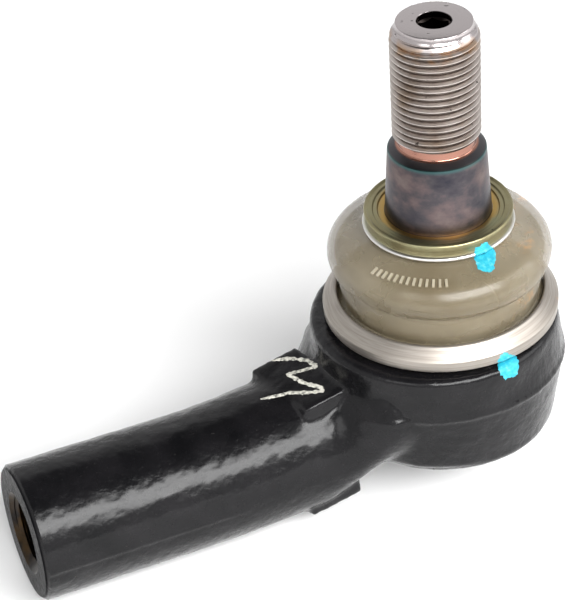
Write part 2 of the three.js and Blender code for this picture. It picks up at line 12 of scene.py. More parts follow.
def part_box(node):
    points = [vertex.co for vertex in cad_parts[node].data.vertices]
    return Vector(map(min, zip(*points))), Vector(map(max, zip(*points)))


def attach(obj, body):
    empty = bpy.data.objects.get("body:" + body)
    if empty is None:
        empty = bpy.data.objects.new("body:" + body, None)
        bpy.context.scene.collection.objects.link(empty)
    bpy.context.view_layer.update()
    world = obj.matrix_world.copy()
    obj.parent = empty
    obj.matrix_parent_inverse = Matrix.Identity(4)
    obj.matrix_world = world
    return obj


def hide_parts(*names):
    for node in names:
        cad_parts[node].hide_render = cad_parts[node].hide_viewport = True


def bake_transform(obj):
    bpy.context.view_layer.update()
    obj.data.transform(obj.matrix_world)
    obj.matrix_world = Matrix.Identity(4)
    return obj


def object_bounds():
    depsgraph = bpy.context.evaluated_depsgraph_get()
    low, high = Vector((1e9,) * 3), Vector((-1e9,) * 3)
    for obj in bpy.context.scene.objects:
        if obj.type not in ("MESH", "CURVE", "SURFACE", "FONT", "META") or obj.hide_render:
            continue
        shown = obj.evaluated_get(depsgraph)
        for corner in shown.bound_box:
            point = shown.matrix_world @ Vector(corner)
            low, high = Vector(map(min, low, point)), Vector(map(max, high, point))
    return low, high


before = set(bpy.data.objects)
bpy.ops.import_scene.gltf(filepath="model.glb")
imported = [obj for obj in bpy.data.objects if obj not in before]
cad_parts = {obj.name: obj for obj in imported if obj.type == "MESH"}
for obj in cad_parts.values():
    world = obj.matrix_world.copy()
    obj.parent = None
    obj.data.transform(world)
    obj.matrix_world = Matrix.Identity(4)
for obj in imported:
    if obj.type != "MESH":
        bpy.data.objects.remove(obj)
cad_low, cad_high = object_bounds()

# ---------------------------------------------------------------- forged body
# Housing, neck and rod socket are one drop forging in medium-carbon steel. Its flash is trimmed along the
# parting line, the bore, spigot and socket are machined, and the outside gets thick gloss black paint.

MM = 0.001


def span(node):
    """A node's lowest and highest corners in millimetres."""
    low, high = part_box(node)
    return low / MM, high / MM


def smoothstep(value, start, end):
    """Rises smoothly from 0 to 1 as value goes from start to end, which may run either way."""
    t = np.clip((value - start) / (end - start), 0, 1)
    return t * t * (3 - 2 * t)


def mix(a, b, share):
    return a + (b - a) * share


def made(name, points, faces):
    """A closed mesh object from points in millimetres, its faces turned outwards."""
    mesh = bpy.data.meshes.new(name)
    mesh.from_pydata([tuple(p) for p in np.asarray(points) * MM], [], faces)
    shell = bmesh.new()
    shell.from_mesh(mesh)
    bmesh.ops.remove_doubles(shell, verts=shell.verts, dist=1e-7)
    bmesh.ops.recalc_face_normals(shell, faces=shell.faces)
    if shell.calc_volume(signed=True) < 0:
        bmesh.ops.reverse_faces(shell, faces=shell.faces)
    shell.to_mesh(mesh)
    shell.free()
    piece = bpy.data.objects.new(name, mesh)
    bpy.context.scene.collection.objects.link(piece)
    return piece


def arc(radius, height, size, start, end, steps=6):
    """Points of a round edge, from one angle to another in degrees above the outward radius."""
    angles = np.radians(np.linspace(start, end, steps + 1))
    return [(radius + size * math.cos(a), height + size * math.sin(a)) for a in angles]


def eased(corners, edge, steps=3):
    """An outline of (radius, height) corners with every corner off the axis broken by a small round."""
    count = len(corners)
    line = []
    for i, corner in enumerate(corners):
        here = Vector(corner)
        if here.x < 1e-6:
            line.append(tuple(here))
            continue
        before = Vector(corners[i - 1]) - here
        after = Vector(corners[(i + 1) % count]) - here
        reach = min(edge, before.length * 0.45, after.length * 0.45)
        first, last = here + before.normalized() * reach, here + after.normalized() * reach
        for step in range(steps + 1):
            t = step / steps
            line.append(tuple(first * (1 - t) ** 2 + here * 2 * t * (1 - t) + last * t * t))
    return line


def turned(name, outline, sides=192):
    """Turns an outline of (radius, height) round Z. It closes on itself or starts and ends on the axis."""
    turn = np.linspace(0, 2 * math.pi, sides, endpoint=False)
    on_axis = outline[0][0] < 1e-6
    points, rows = [], []
    for radius, height in outline:
        if radius < 1e-6:
            rows.append([len(points)] * sides)
            points.append((0, 0, height))
        else:
            rows.append(list(range(len(points), len(points) + sides)))
            points.extend((radius * math.cos(a), radius * math.sin(a), height) for a in turn)
    faces = []
    for i in range(len(rows) - (1 if on_axis else 0)):
        low, high = rows[i], rows[(i + 1) % len(rows)]
        for k in range(sides):
            n = (k + 1) % sides
            loop = list(dict.fromkeys((low[k], low[n], high[n], high[k])))
            if len(loop) > 2:
                faces.append(loop)
    return made(name, points, faces)


def skinned(name, rings):
    """Skins a stack of rings, each with the same number of points, and closes both ends."""
    count = len(rings[0])
    faces = [
        (r * count + k, r * count + (k + 1) % count, (r + 1) * count + (k + 1) % count, (r + 1) * count + k)
        for r in range(len(rings) - 1)
        for k in range(count)
    ]
    faces.append(tuple(range(count)))
    faces.append(tuple(range((len(rings) - 1) * count, len(rings) * count)))
    return made(name, np.concatenate(rings), faces)


def threaded_rod(name, crest, depth, pitch, bottom, top, sides=96):
    """A rod whose skin is one helical groove with a flat crest and a round root."""
    shares = (0.0, 0.14, 0.32, 0.46, 0.56, 0.66, 0.84)
    depths = (0.0, 0.0, 0.5, 0.94, 1.0, 0.94, 0.5)
    per = len(shares)
    last = math.ceil((top - bottom) / pitch) * per
    points, at = [], {}
    for row in range(last + per + 1):
        radius = crest - depth * depths[row % per]
        for column in range(sides if row <= last else 1):
            height = bottom + pitch * (row // per + shares[row % per] + column / sides)
            a = 2 * math.pi * column / sides
            at[row, column] = len(points)
            points.append((radius * math.cos(a), radius * math.sin(a), height))
    for row in range(last + 1):
        at[row, sides] = at[row + per, 0]
    faces = [
        (at[row, k], at[row, k + 1], at[row + 1, k + 1], at[row + 1, k])
        for row in range(last)
        for k in range(sides)
    ]
    for row, height in ((0, bottom - pitch), (last, top + 3 * pitch)):
        loop = [at[row, k] for k in range(sides + 1)]
        loop += [at[row + step, 0] for step in range(per - 1, 0, -1)]
        points.append((0, 0, height))
        faces += [(len(points) - 1, loop[i], loop[(i + 1) % len(loop)]) for i in range(len(loop))]
    return made(name, points, faces)


def finished(piece):
    """Turns a piece's modifiers into its plain mesh."""
    graph = bpy.context.evaluated_depsgraph_get()
    mesh = bpy.data.meshes.new_from_object(piece.evaluated_get(graph))
    piece.modifiers.clear()
    piece.data = mesh


def worked(piece, tool, operation="DIFFERENCE"):
    """Cuts a piece with a tool, or joins the tool to it."""
    step = piece.modifiers.new(operation.title(), "BOOLEAN")
    step.operation = operation
    step.solver = "MANIFOLD"
    step.object = tool
    finished(piece)
    bpy.data.objects.remove(tool)


def shaded(piece, angle=32):
    """Smooth shading with true edges kept sharp."""
    piece.data.shade_smooth()
    piece.data.set_sharp_from_angle(angle=math.radians(angle))


class Finish:
    """A material, with short calls for the nodes that give it its colour, wear and texture."""

    def __init__(self, name, **settings):
        self.material = bpy.data.materials.new(name)
        self.material.use_nodes = True
        self.tree = self.material.node_tree
        self.shader = self.tree.nodes["Principled BSDF"]
        self.place = self.node("ShaderNodeTexCoord").outputs["Object"]
        split = self.node("ShaderNodeSeparateXYZ")
        self.tree.links.new(self.place, split.inputs[0])
        self.x, self.y, self.z = split.outputs
        for socket, value in settings.items():
            self.shader.inputs[socket.replace("_", " ")].default_value = value

    def node(self, kind, **settings):
        node = self.tree.nodes.new(kind)
        for key, value in settings.items():
            setattr(node, key, value)
        return node

    def feed(self, socket, value):
        if isinstance(value, bpy.types.NodeSocket):
            self.tree.links.new(value, socket)
        else:
            socket.default_value = value

    def math(self, operation, *values):
        node = self.node("ShaderNodeMath", operation=operation)
        for socket, value in zip(node.inputs, values):
            self.feed(socket, value)
        return node.outputs[0]

    def vector(self, x, y, z):
        node = self.node("ShaderNodeCombineXYZ")
        for socket, value in zip(node.inputs, (x, y, z)):
            self.feed(socket, value)
        return node.outputs[0]

    def times(self, value, factor):
        return self.math("MULTIPLY", value, factor)

    def from_axis(self):
        """Distance from Z, in metres."""
        squares = self.math("ADD", self.math("POWER", self.x, 2.0), self.math("POWER", self.y, 2.0))
        return self.math("SQRT", squares)

    def noise(self, scale, detail=3.0, roughness=0.5, place=None):
        node = self.node("ShaderNodeTexNoise")
        self.feed(node.inputs["Vector"], place or self.place)
        self.feed(node.inputs["Scale"], scale)
        self.feed(node.inputs["Detail"], detail)
        self.feed(node.inputs["Roughness"], roughness)
        return node.outputs["Fac"]

    def turning(self, lines, wander=2.0):
        """Noise that runs round Z, as a lathe's tool or a brush leaves it."""
        angle = self.math("ARCTAN2", self.y, self.x)
        place = self.vector(
            self.times(self.from_axis(), lines),
            self.times(self.math("SINE", angle), wander),
            self.times(self.z, lines),
        )
        return self.noise(1.0, 2.0, 0.6, place)

    def band(self, value, start, end):
        """Rises smoothly from 0 to 1 as value goes from start to end."""
        node = self.node("ShaderNodeMapRange", interpolation_type="SMOOTHSTEP")
        for socket, setting in zip(node.inputs, (value, start, end, 0.0, 1.0)):
            self.feed(socket, setting)
        return node.outputs[0]

    def colours(self, share, *tones):
        """Blends through tones of (place, (red, green, blue))."""
        node = self.node("ShaderNodeValToRGB")
        ramp = node.color_ramp
        while len(ramp.elements) < len(tones):
            ramp.elements.new(0.5)
        for element, (place, tone) in zip(ramp.elements, tones):
            element.position = place
            element.color = (*tone, 1)
        self.feed(node.inputs[0], share)
        return node.outputs[0]

    def mottled(self, share, dark, light, low=0.3, high=0.7):
        """A base colour that wanders between two tones."""
        self.set("Base Color", self.colours(share, (low, dark), (high, light)))

    def over(self, share, under, top):
        """Lays one tone over another where share is 1."""
        node = self.node("ShaderNodeMix", data_type="RGBA")
        self.feed(node.inputs[0], share)
        for socket, value in ((node.inputs[6], under), (node.inputs[7], top)):
            self.feed(socket, (*value, 1) if isinstance(value, tuple) else value)
        return node.outputs[2]

    def relief(self, height, depth, strength=1.0):
        """Fine relief of a depth in metres. Calls add up."""
        node = self.node("ShaderNodeBump")
        node.inputs["Strength"].default_value = strength
        node.inputs["Distance"].default_value = depth
        self.feed(node.inputs["Height"], height)
        normal = self.shader.inputs["Normal"]
        if normal.links:
            self.tree.links.new(normal.links[0].from_socket, node.inputs["Normal"])
        self.tree.links.new(node.outputs[0], normal)

    def set(self, socket, value):
        self.feed(self.shader.inputs[socket], (*value, 1) if isinstance(value, tuple) else value)


def dressed(piece, finish):
    """Gives a piece its material."""
    piece.data.materials.clear()
    piece.data.materials.append(finish.material)


body_low, body_high = span("forged_body")
seat_low, seat_high = span("ball_seat")
plate_low, plate_high = span("closing_plate")
ring_low, ring_high = span("boot_clamp_ring")

GAP = 0.3
STEM_HEIGHT = 0.4
STEM_LENGTH = -body_low.x
STEM_RADIUS = STEM_HEIGHT - body_low.z
STEM_CHAMFER = 0.8
NECK_START = 52
NECK_BLEND = 8
NECK_SWELL = 0.4
NECK_LIFT = 2
HOUSING_BLEND = 7
HOUSING_SPREAD = 0.55
SHOULDER_BLEND = 2
SHOULDER_FLATNESS = 0.7
HOUSING_EDGE = 1.6
FOOT_DRAW = 2
FOOT_EDGE = 2.6
SHOULDER_DRAW = 1.3
PARTING_HEIGHT = 15.5
PARTING_RIDGE = 0.3
PARTING_WIDTH = 0.55
WEB_OFFSET = 1.9
LIP_DROP = 0.9
LIP_REACH = 1.2
PAD_START = 27.5
PAD_LENGTH = 10.5
PAD_HALF_WIDTH = 9
PAD_SKEW = 2.2
PAD_TOP = 16.7
PAD_RISE = 2.6
PAD_BOTTOM = -11.1
PAD_DRAFT = 4.5
BOSS_HALF_WIDTH = 11.2
BOSS_BOTTOM = -10.4
ROD_THREAD_RADIUS = 8
ROD_THREAD_PITCH = 1.5
ROD_THREAD_DEPTH = 0.81
ROD_THREAD_LENGTH = 36
ROD_MOUTH_RADIUS = 8.78
ROD_DRILL_POINT = 4
SEAT_CHAMFER = 2.4
OPENING_RADIUS = 14.6
OPENING_FLARE = 2.4
SPIGOT_REACH = 1.06
SPIGOT_EDGE = 0.3
PLATE_STEP = 0.6
FORGING_GRAIN = 0.5
SOFTEN_PASSES = 10
FILLET_PASSES = 50
FILLET_ALONG = ((15, 20), (52, 46))
FILLET_UPRIGHT = ((-7, -3), (15.5, 12.5))
SCALE_LUMPS = ((0.10, 0.16), (0.075, 0.42), (0.03, 1.1))

housing_radius = body_high.x
housing_top = body_high.z
bore_radius = seat_high.x + GAP
shoulder_height = seat_high.z + GAP
housing_shoulder = seat_high.z
spigot_radius = bore_radius + SPIGOT_REACH
plate_radius = plate_high.x
lip_inner = plate_radius - LIP_REACH


def stem_and_neck():
    """The stem is round. The neck swells, lifts and flattens until it meets the housing."""
    inside = bore_radius * 0.3
    straight = np.linspace(STEM_LENGTH + 1, NECK_START + NECK_BLEND, 8)
    stations = [*straight, *np.linspace(NECK_START + NECK_BLEND / 2, bore_radius, 24), inside]
    angles = np.linspace(0, 2 * math.pi, 96, endpoint=False)
    rings = []
    for x in stations:
        to_neck = smoothstep(x, NECK_START + NECK_BLEND, PAD_START)
        to_housing = smoothstep(x, PAD_START + HOUSING_BLEND, bore_radius)
        to_shoulder = smoothstep(x, PAD_START + SHOULDER_BLEND, PAD_START - HOUSING_BLEND)
        half = STEM_RADIUS + NECK_SWELL * to_neck
        width = half + (housing_radius - STEM_RADIUS) * HOUSING_SPREAD * to_housing
        axis = STEM_HEIGHT + NECK_LIFT * to_neck
        top = mix(axis + half, housing_shoulder - HOUSING_EDGE * 0.3, to_shoulder)
        bottom = mix(axis - half, HOUSING_EDGE - LIP_DROP, to_housing)
        flatness = mix(1, SHOULDER_FLATNESS, to_shoulder)
        side = np.sign(np.sin(angles)) * np.abs(np.sin(angles)) ** flatness
        height = (top + bottom) / 2 + (top - bottom) / 2 * np.cos(angles)
        rings.append(np.column_stack([np.full(len(angles), -x), width * side, height]))
    return skinned("stem", rings)


def neck_pad():
    """The flat pad on top of the neck and the boss below it, both with forging draft."""
    rings = []
    middle = (PAD_TOP + PAD_BOTTOM) / 2
    levels = (
        (BOSS_BOTTOM, 0.5, BOSS_HALF_WIDTH),
        (middle, 1, PAD_HALF_WIDTH + PAD_DRAFT * 0.5),
        (PAD_TOP, 0, PAD_HALF_WIDTH),
    )
    for height, out, half in levels:
        near, far = PAD_START - out, PAD_START + PAD_LENGTH + out
        rings.append(np.array([
            (-near + PAD_SKEW, -half, height + PAD_RISE),
            (-near - PAD_SKEW, half, height + PAD_RISE),
            (-far - PAD_SKEW, half, height),
            (-far + PAD_SKEW, -half, height),
        ]))
    return skinned("pad", rings)


def fillet_neck(piece):
    """Smooths the sides of the neck more than the pad on top and the boss below, as the die's fillets do."""
    sides = piece.vertex_groups.new(name="sides")
    (along_in, along_out), (upright_in, upright_out) = FILLET_ALONG, FILLET_UPRIGHT
    for v in piece.data.vertices:
        x, y, z = v.co / MM
        along = smoothstep(-x, *along_in) * smoothstep(-x, *along_out)
        upright = smoothstep(z, *upright_in) * smoothstep(z, *upright_out)
        sides.add([v.index], float(along * upright), "REPLACE")
    step = piece.modifiers.new("Fillet", "SMOOTH")
    step.factor = 0.5
    step.iterations = FILLET_PASSES
    step.vertex_group = sides.name
    finished(piece)


def forging():
    """The raw forging: its solids fused and their corners rounded as the die leaves them."""
    foot = housing_radius - FOOT_DRAW
    shoulder = housing_radius - SHOULDER_DRAW
    housing = turned("housing", [
        (0, -LIP_DROP),
        *arc(foot - FOOT_EDGE, FOOT_EDGE - LIP_DROP, FOOT_EDGE, -90, 0),
        (housing_radius, PARTING_HEIGHT),
        *arc(shoulder - HOUSING_EDGE, housing_shoulder - HOUSING_EDGE, HOUSING_EDGE, 0, 90),
        (spigot_radius, housing_shoulder),
        (spigot_radius, housing_top),
        (0, housing_top),
    ])
    web = turned("web", [
        (0, HOUSING_EDGE),
        (foot, HOUSING_EDGE),
        (housing_radius, PARTING_HEIGHT),
        *arc(housing_radius - HOUSING_EDGE, housing_shoulder - HOUSING_EDGE, HOUSING_EDGE, 0, 90),
        (0, housing_shoulder),
    ])
    web.data.transform(Matrix.Translation((-WEB_OFFSET * MM, 0, 0)))
    for solid in (web, stem_and_neck(), neck_pad()):
        worked(housing, solid, "UNION")
    skin = housing.modifiers.new("Skin", "REMESH")
    skin.mode = "VOXEL"
    skin.voxel_size = FORGING_GRAIN * MM
    soften = housing.modifiers.new("Soften", "SMOOTH")
    soften.factor = 0.5
    soften.iterations = SOFTEN_PASSES
    finished(housing)
    fillet_neck(housing)
    return housing


def forged_skin(piece):
    """Raises the trimmed flash line and gives the skin the lumps of forging scale under paint."""
    mesh = piece.data
    count = len(mesh.vertices)
    co = np.zeros(count * 3)
    normal = np.zeros(count * 3)
    mesh.vertices.foreach_get("co", co)
    mesh.vertex_normals.foreach_get("vector", normal)
    co, normal = co.reshape(-1, 3) / MM, normal.reshape(-1, 3)
    x, y, z = co.T
    parting = mix(STEM_HEIGHT, PARTING_HEIGHT, smoothstep(-x, NECK_START, PAD_START - 4))
    upright = 1 - smoothstep(np.abs(normal[:, 2]), 0.35, 0.75)
    upright *= 1 - 0.85 * smoothstep(-x, 62, 50) * smoothstep(-x, 20, 27)
    ridge = PARTING_RIDGE * upright * np.exp(-(((z - parting) / PARTING_WIDTH) ** 2))
    lumps = np.array([
        sum(depth * noise.noise(Vector(p) * grain) for depth, grain in SCALE_LUMPS)
        for p in co
    ])
    co += normal * (ridge + lumps)[:, None]
    mesh.vertices.foreach_set("co", (co * MM).ravel())
    mesh.update()


def machining():
    """The cutters for the bore, the plate's seat, the spigot, and the socket's face and thread."""
    cavity = turned("cavity", [
        (0, -3 * LIP_DROP),
        (lip_inner + LIP_DROP, -3 * LIP_DROP),
        (lip_inner, -LIP_DROP + 0.3),
        (lip_inner, PLATE_STEP - GAP),
        (plate_radius + GAP, PLATE_STEP - GAP),
        (plate_radius + GAP, plate_high.z + 2),
        (bore_radius, plate_high.z + 2),
        (bore_radius, shoulder_height - SEAT_CHAMFER),
        (bore_radius - SEAT_CHAMFER, shoulder_height),
        (OPENING_RADIUS - OPENING_FLARE, shoulder_height),
        (OPENING_RADIUS, housing_top),
        (OPENING_RADIUS + 1, housing_top + 1),
        (0, housing_top + 1),
    ])
    spigot = turned("spigot", eased([
        (spigot_radius, housing_shoulder),
        (housing_radius * 1.3, housing_shoulder),
        (housing_radius * 1.3, housing_top + 2),
        (spigot_radius, housing_top + 2),
    ], SPIGOT_EDGE))
    face = turned("face", [
        (0, -5),
        (STEM_RADIUS * 1.5, -5),
        (STEM_RADIUS * 1.5, STEM_RADIUS * 0.5 + STEM_CHAMFER),
        (STEM_RADIUS - STEM_CHAMFER, 0),
        (0, 0),
    ])
    drill_end = ROD_THREAD_LENGTH + 2
    drill_radius = ROD_THREAD_RADIUS - ROD_THREAD_DEPTH
    drill = turned("drill", [
        (0, -1),
        (ROD_MOUTH_RADIUS + 1, -1),
        (drill_radius, ROD_MOUTH_RADIUS - ROD_THREAD_RADIUS + ROD_THREAD_DEPTH),
        (drill_radius, drill_end),
        (0, drill_end + ROD_DRILL_POINT),
    ])
    tap = threaded_rod(
        "tap", ROD_THREAD_RADIUS, ROD_THREAD_DEPTH + 0.02, ROD_THREAD_PITCH, 0.4, ROD_THREAD_LENGTH - 5,
    )
    socket = Matrix.Translation((-STEM_LENGTH * MM, 0, STEM_HEIGHT * MM))
    along = socket @ Matrix.Rotation(math.pi / 2, 4, "Y")
    for tool in (face, drill, tap):
        tool.data.transform(along)
    return cavity, spigot, face, drill, tap


def black_paint():
    """Thick gloss paint over rough scale, bare of gloss on the machined face, with specks of pale dust."""
    paint = Finish("black_paint", Coat_Roughness=0.17)
    dust = paint.band(paint.noise(1900, 4, 0.7), 0.66, 0.76)
    grey = paint.colours(paint.noise(130, 4), (0.3, (0.003, 0.003, 0.0035)), (0.7, (0.008, 0.0075, 0.0085)))
    behind_face = paint.band(paint.x, (0.2 - STEM_LENGTH) * MM, (0.5 - STEM_LENGTH) * MM)
    paint.set("Coat Weight", paint.times(behind_face, 0.36))
    paint.set("Specular IOR Level", paint.math("MULTIPLY_ADD", behind_face, 0.06, 0.02))
    paint.set("Base Color", paint.over(paint.times(dust, 0.22), grey, (0.22, 0.21, 0.2)))
    paint.set("Roughness", paint.math("MULTIPLY_ADD", paint.noise(420, 3), 0.2, 0.16))
    paint.relief(paint.noise(620, 3, 0.55), 0.0004, 0.62)
    paint.relief(paint.noise(2400, 2), 0.0001, 0.25)
    return paint


def greasy_steel():
    """Bare steel under a film of dark grease."""
    grease = Finish("greasy_steel", Metallic=0.5)
    grease.mottled(grease.noise(300, 3), (0.02, 0.017, 0.012), (0.05, 0.042, 0.03), high=0.8)
    grease.set("Roughness", grease.math("MULTIPLY_ADD", grease.noise(500), 0.3, 0.3))
    grease.relief(grease.noise(400), 0.0002, 0.3)
    return grease


def bore_in_painted_shade():
    """The cut thread, its steel tone darkened as painted shade inside the bore, with amber patches."""
    bore = Finish("bore_in_painted_shade", Metallic=1.0)
    amber = bore.band(bore.noise(230, 3), 0.42, 0.66)
    # Steel kept near black: painted shade inside the deep bore.
    steel = bore.colours(bore.noise(700, 3), (0.3, (0.01, 0.009, 0.009)), (0.8, (0.04, 0.035, 0.032)))
    bore.set("Base Color", bore.over(amber, steel, (0.055, 0.034, 0.015)))
    bore.set("Roughness", bore.math("MULTIPLY_ADD", bore.noise(900), 0.3, 0.2))
    bore.relief(bore.noise(1500), 0.0001, 0.3)
    return bore


forged_body = forging()
forged_skin(forged_body)
for cutter in machining():
    worked(forged_body, cutter)
forged_body.name = "forged_body_finished"
shaded(forged_body, 38)
dressed(forged_body, black_paint())
forged_body.data.materials.append(bore_in_painted_shade().material)
forged_body.data.materials.append(greasy_steel().material)
for face in forged_body.data.polygons:
    place = face.center / MM
    from_stem = math.hypot(place.y, place.z - STEM_HEIGHT)
    in_socket = place.x < -50 and from_stem < ROD_MOUTH_RADIUS - 0.1
    in_housing = math.hypot(place.x, place.y) < spigot_radius + 0.1 and place.z > plate_high.z
    face.material_index = 1 if in_socket else 2 * in_housing
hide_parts("forged_body")
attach(forged_body, "housing")

# ---------------------------------------------------------------- closing plate and its seal
# A pressed steel disc closes the bore from below. The housing's lip is rolled over its stepped rim, on a
# rubber ring, and it is painted with the body.

DIMPLE_RADIUS = 7
DIMPLE_DEPTH = 0.6
STIFFENER_RADIUS = 12.5
STIFFENER_DEPTH = 0.35

face_radius = lip_inner - GAP - PLATE_STEP
closing_plate = turned("closing_plate_finished", [
    (0, 0.25),
    (DIMPLE_RADIUS - 1, 0.2),
    (DIMPLE_RADIUS + 0.5, 0),
    (STIFFENER_RADIUS - 1, 0),
    (STIFFENER_RADIUS, STIFFENER_DEPTH),
    (STIFFENER_RADIUS + 1, 0),
    (face_radius - 0.3, 0),
    *arc(face_radius, PLATE_STEP * 0.5, PLATE_STEP * 0.5, -90, 0, 4),
    (face_radius + PLATE_STEP, PLATE_STEP),
    (plate_radius, PLATE_STEP),
    (plate_radius, plate_high.z),
    (DIMPLE_RADIUS + DIMPLE_DEPTH, plate_high.z),
    (DIMPLE_RADIUS, plate_high.z - DIMPLE_DEPTH),
    (0, plate_high.z - DIMPLE_DEPTH),
])
shaded(closing_plate)
plate_paint = Finish("plate_paint", Coat_Weight=0.2, Coat_Roughness=0.25)
plate_paint.mottled(plate_paint.noise(160, 4), (0.009, 0.009, 0.01), (0.02, 0.02, 0.021))
plate_paint.set("Roughness", plate_paint.math("MULTIPLY_ADD", plate_paint.noise(500), 0.25, 0.25))
plate_paint.relief(plate_paint.noise(800), 0.0002, 0.3)
dressed(closing_plate, plate_paint)
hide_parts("closing_plate")
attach(closing_plate, "housing")

rubber = Finish("nitrile_rubber", Roughness=0.7, Specular_IOR_Level=0.3)
rubber.mottled(rubber.noise(600), (0.012, 0.012, 0.012), (0.03, 0.03, 0.029))
rubber.relief(rubber.noise(2500), 0.0001, 0.3)
dressed(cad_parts["plate_seal"], rubber)

# ---------------------------------------------------------------- preload spring and ball seats
# A dished spring washer on the plate presses the lower acetal seat up against the ball. The upper seat takes
# the load at the shoulder. Both are moulded with grease grooves.

oiled_spring = Finish("oiled_spring", Metallic=1.0, Roughness=0.35)
oiled_spring.mottled(oiled_spring.noise(400), (0.09, 0.09, 0.1), (0.2, 0.19, 0.19))
oiled_spring.relief(oiled_spring.turning(4000), 0.00005, 0.4)
dressed(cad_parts["preload_spring"], oiled_spring)

acetal = Finish("acetal", Subsurface_Weight=0.15, Subsurface_Scale=0.002)
acetal.mottled(acetal.noise(90, 3), (0.8, 0.77, 0.7), (0.86, 0.84, 0.78))
acetal.set("Roughness", acetal.math("MULTIPLY_ADD", acetal.noise(700), 0.2, 0.35))
acetal.relief(acetal.noise(3000), 0.00005, 0.3)
for node in ("pressure_seat", "ball_seat"):
    dressed(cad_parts[node], acetal)

# ---------------------------------------------------------------- ball stud
# Ball, neck and shank are one piece of alloy steel. The taper is ground and blued by heat treatment, the
# M18 x 1.5 thread is rolled, and the end has a broached socket for a hex key.

stud_low, stud_high = span("ball_stud")
collar_low, collar_high = span("boot_collar")

BALL_RADIUS = 14
BALL_FLAT_DEPTH = 11.5
NECK_RADIUS = 7.3
NECK_FLARE = 4.5
TAPER_SLOPE = 1 / 16
TAPER_SMALL_RADIUS = 10.08
TAPER_LENGTH = 18.3
TAPER_BREAK = 0.3
THREAD_RADIUS = 9
THREAD_PITCH = 1.5
THREAD_DEPTH = 0.92
GROOVE_RADIUS = 7.95
GROOVE_SHOULDER = 1.1
GROOVE_LENGTH = 1.7
TIP_RADIUS = 7.7
TIP_LENGTH = 3.4
TIP_LAND = 0.9
HEX_FLATS = 6
HEX_DEPTH = 7
HEX_MOUTH_RADIUS = 3.5

ball_height = stud_low.z + BALL_FLAT_DEPTH
taper_base = collar_low.z - GAP
taper_top = taper_base + TAPER_LENGTH
taper_base_radius = TAPER_SMALL_RADIUS + TAPER_LENGTH * TAPER_SLOPE
groove_start = taper_top + GROOVE_SHOULDER
thread_start = groove_start + GROOVE_LENGTH
stud_end = stud_high.z
thread_end = stud_end - TIP_LENGTH


def shank():
    """Ball to run-out groove: everything below the thread."""
    flat_radius = math.sqrt(BALL_RADIUS ** 2 - BALL_FLAT_DEPTH ** 2)
    low = -math.degrees(math.acos(flat_radius / BALL_RADIUS))
    high = math.degrees(math.acos(NECK_RADIUS / BALL_RADIUS))
    neck_top = taper_base - NECK_FLARE
    flare = [
        (NECK_RADIUS + (taper_base_radius - NECK_RADIUS) * t ** 2, neck_top + NECK_FLARE * t)
        for t in np.linspace(0, 1, 9)
    ]
    return turned("ball_stud_finished", [
        (0, ball_height - BALL_FLAT_DEPTH),
        *arc(0, ball_height, BALL_RADIUS, low, high, 40),
        *flare,
        (TAPER_SMALL_RADIUS, taper_top - TAPER_BREAK),
        (TAPER_SMALL_RADIUS - TAPER_BREAK * 0.3, taper_top - TAPER_BREAK * 0.3),
        (TAPER_SMALL_RADIUS - TAPER_BREAK, taper_top),
        (GROOVE_RADIUS + 0.5, groove_start - 0.1),
        *arc(GROOVE_RADIUS + 0.5, groove_start + 0.4, 0.5, 270, 180, 4),
        (GROOVE_RADIUS, thread_start + 0.3),
        (0, thread_start + 0.3),
    ], 256)


def thread():
    """The rolled thread, run out into the groove below and the rounded tip above."""
    rod = threaded_rod(
        "thread", THREAD_RADIUS, THREAD_DEPTH, THREAD_PITCH, thread_start - 2 * THREAD_PITCH, stud_end, 192,
    )
    crown = [
        (mix(THREAD_RADIUS + 0.05, TIP_RADIUS, t ** 2.2), mix(thread_end - 0.8, stud_end - TIP_LAND, t))
        for t in np.linspace(0, 1, 9)
    ]
    blank = turned("blank", [
        (0, thread_start),
        (GROOVE_RADIUS + 0.05, thread_start),
        (THREAD_RADIUS + 0.2, thread_start + 1),
        (THREAD_RADIUS + 0.2, thread_end - 0.8),
        *crown,
        *arc(TIP_RADIUS - 0.25, stud_end - 0.25, 0.25, 0, 90, 3),
        (0, stud_end),
    ], 256)
    worked(blank, rod, "INTERSECT")
    return blank


def hex_key():
    """The broach's shape: a hexagon with a countersunk mouth and a drill point below it."""
    corner = HEX_FLATS / math.sqrt(3)
    turn = np.radians(np.arange(6) * 60 + 10)
    rings = [
        np.column_stack([corner * np.cos(turn), corner * np.sin(turn), np.full(6, stud_end + step)])
        for step in (-HEX_DEPTH, 1)
    ]
    broach = skinned("broach", rings)
    mouth = turned("mouth", [
        (0, stud_end - HEX_DEPTH - 2),
        (HEX_FLATS / 2 - 0.1, stud_end - HEX_DEPTH),
        (HEX_FLATS / 2 - 0.1, stud_end - 1.8),
        (HEX_MOUTH_RADIUS, stud_end - 1.3),
        (HEX_MOUTH_RADIUS + 0.02, stud_end - 0.1),
        (HEX_MOUTH_RADIUS + 0.3, stud_end + 0.2),
        (HEX_MOUTH_RADIUS + 0.3, stud_end + 1),
        (0, stud_end + 1),
    ], 96)
    return broach, mouth


def blued_taper(steel, height, smear):
    """Heat-treatment colours on the taper, a teal line at its small end and dark steel above that."""
    blued = steel.colours(
        smear,
        (0.25, (0.035, 0.035, 0.045)),
        (0.45, (0.075, 0.068, 0.075)),
        (0.58, (0.13, 0.1, 0.1)),
        (0.78, (0.2, 0.16, 0.15)),
    )
    teal_line = steel.times(
        steel.band(height, taper_top - 1, taper_top - 0.2),
        steel.band(height, taper_top + 0.15, taper_top - 0.1),
    )
    blued = steel.over(steel.times(teal_line, 0.7), blued, (0.05, 0.13, 0.13))
    above = steel.band(height, taper_top - 0.1, taper_top + 0.2)
    return steel.over(above, blued, (0.075, 0.072, 0.078))


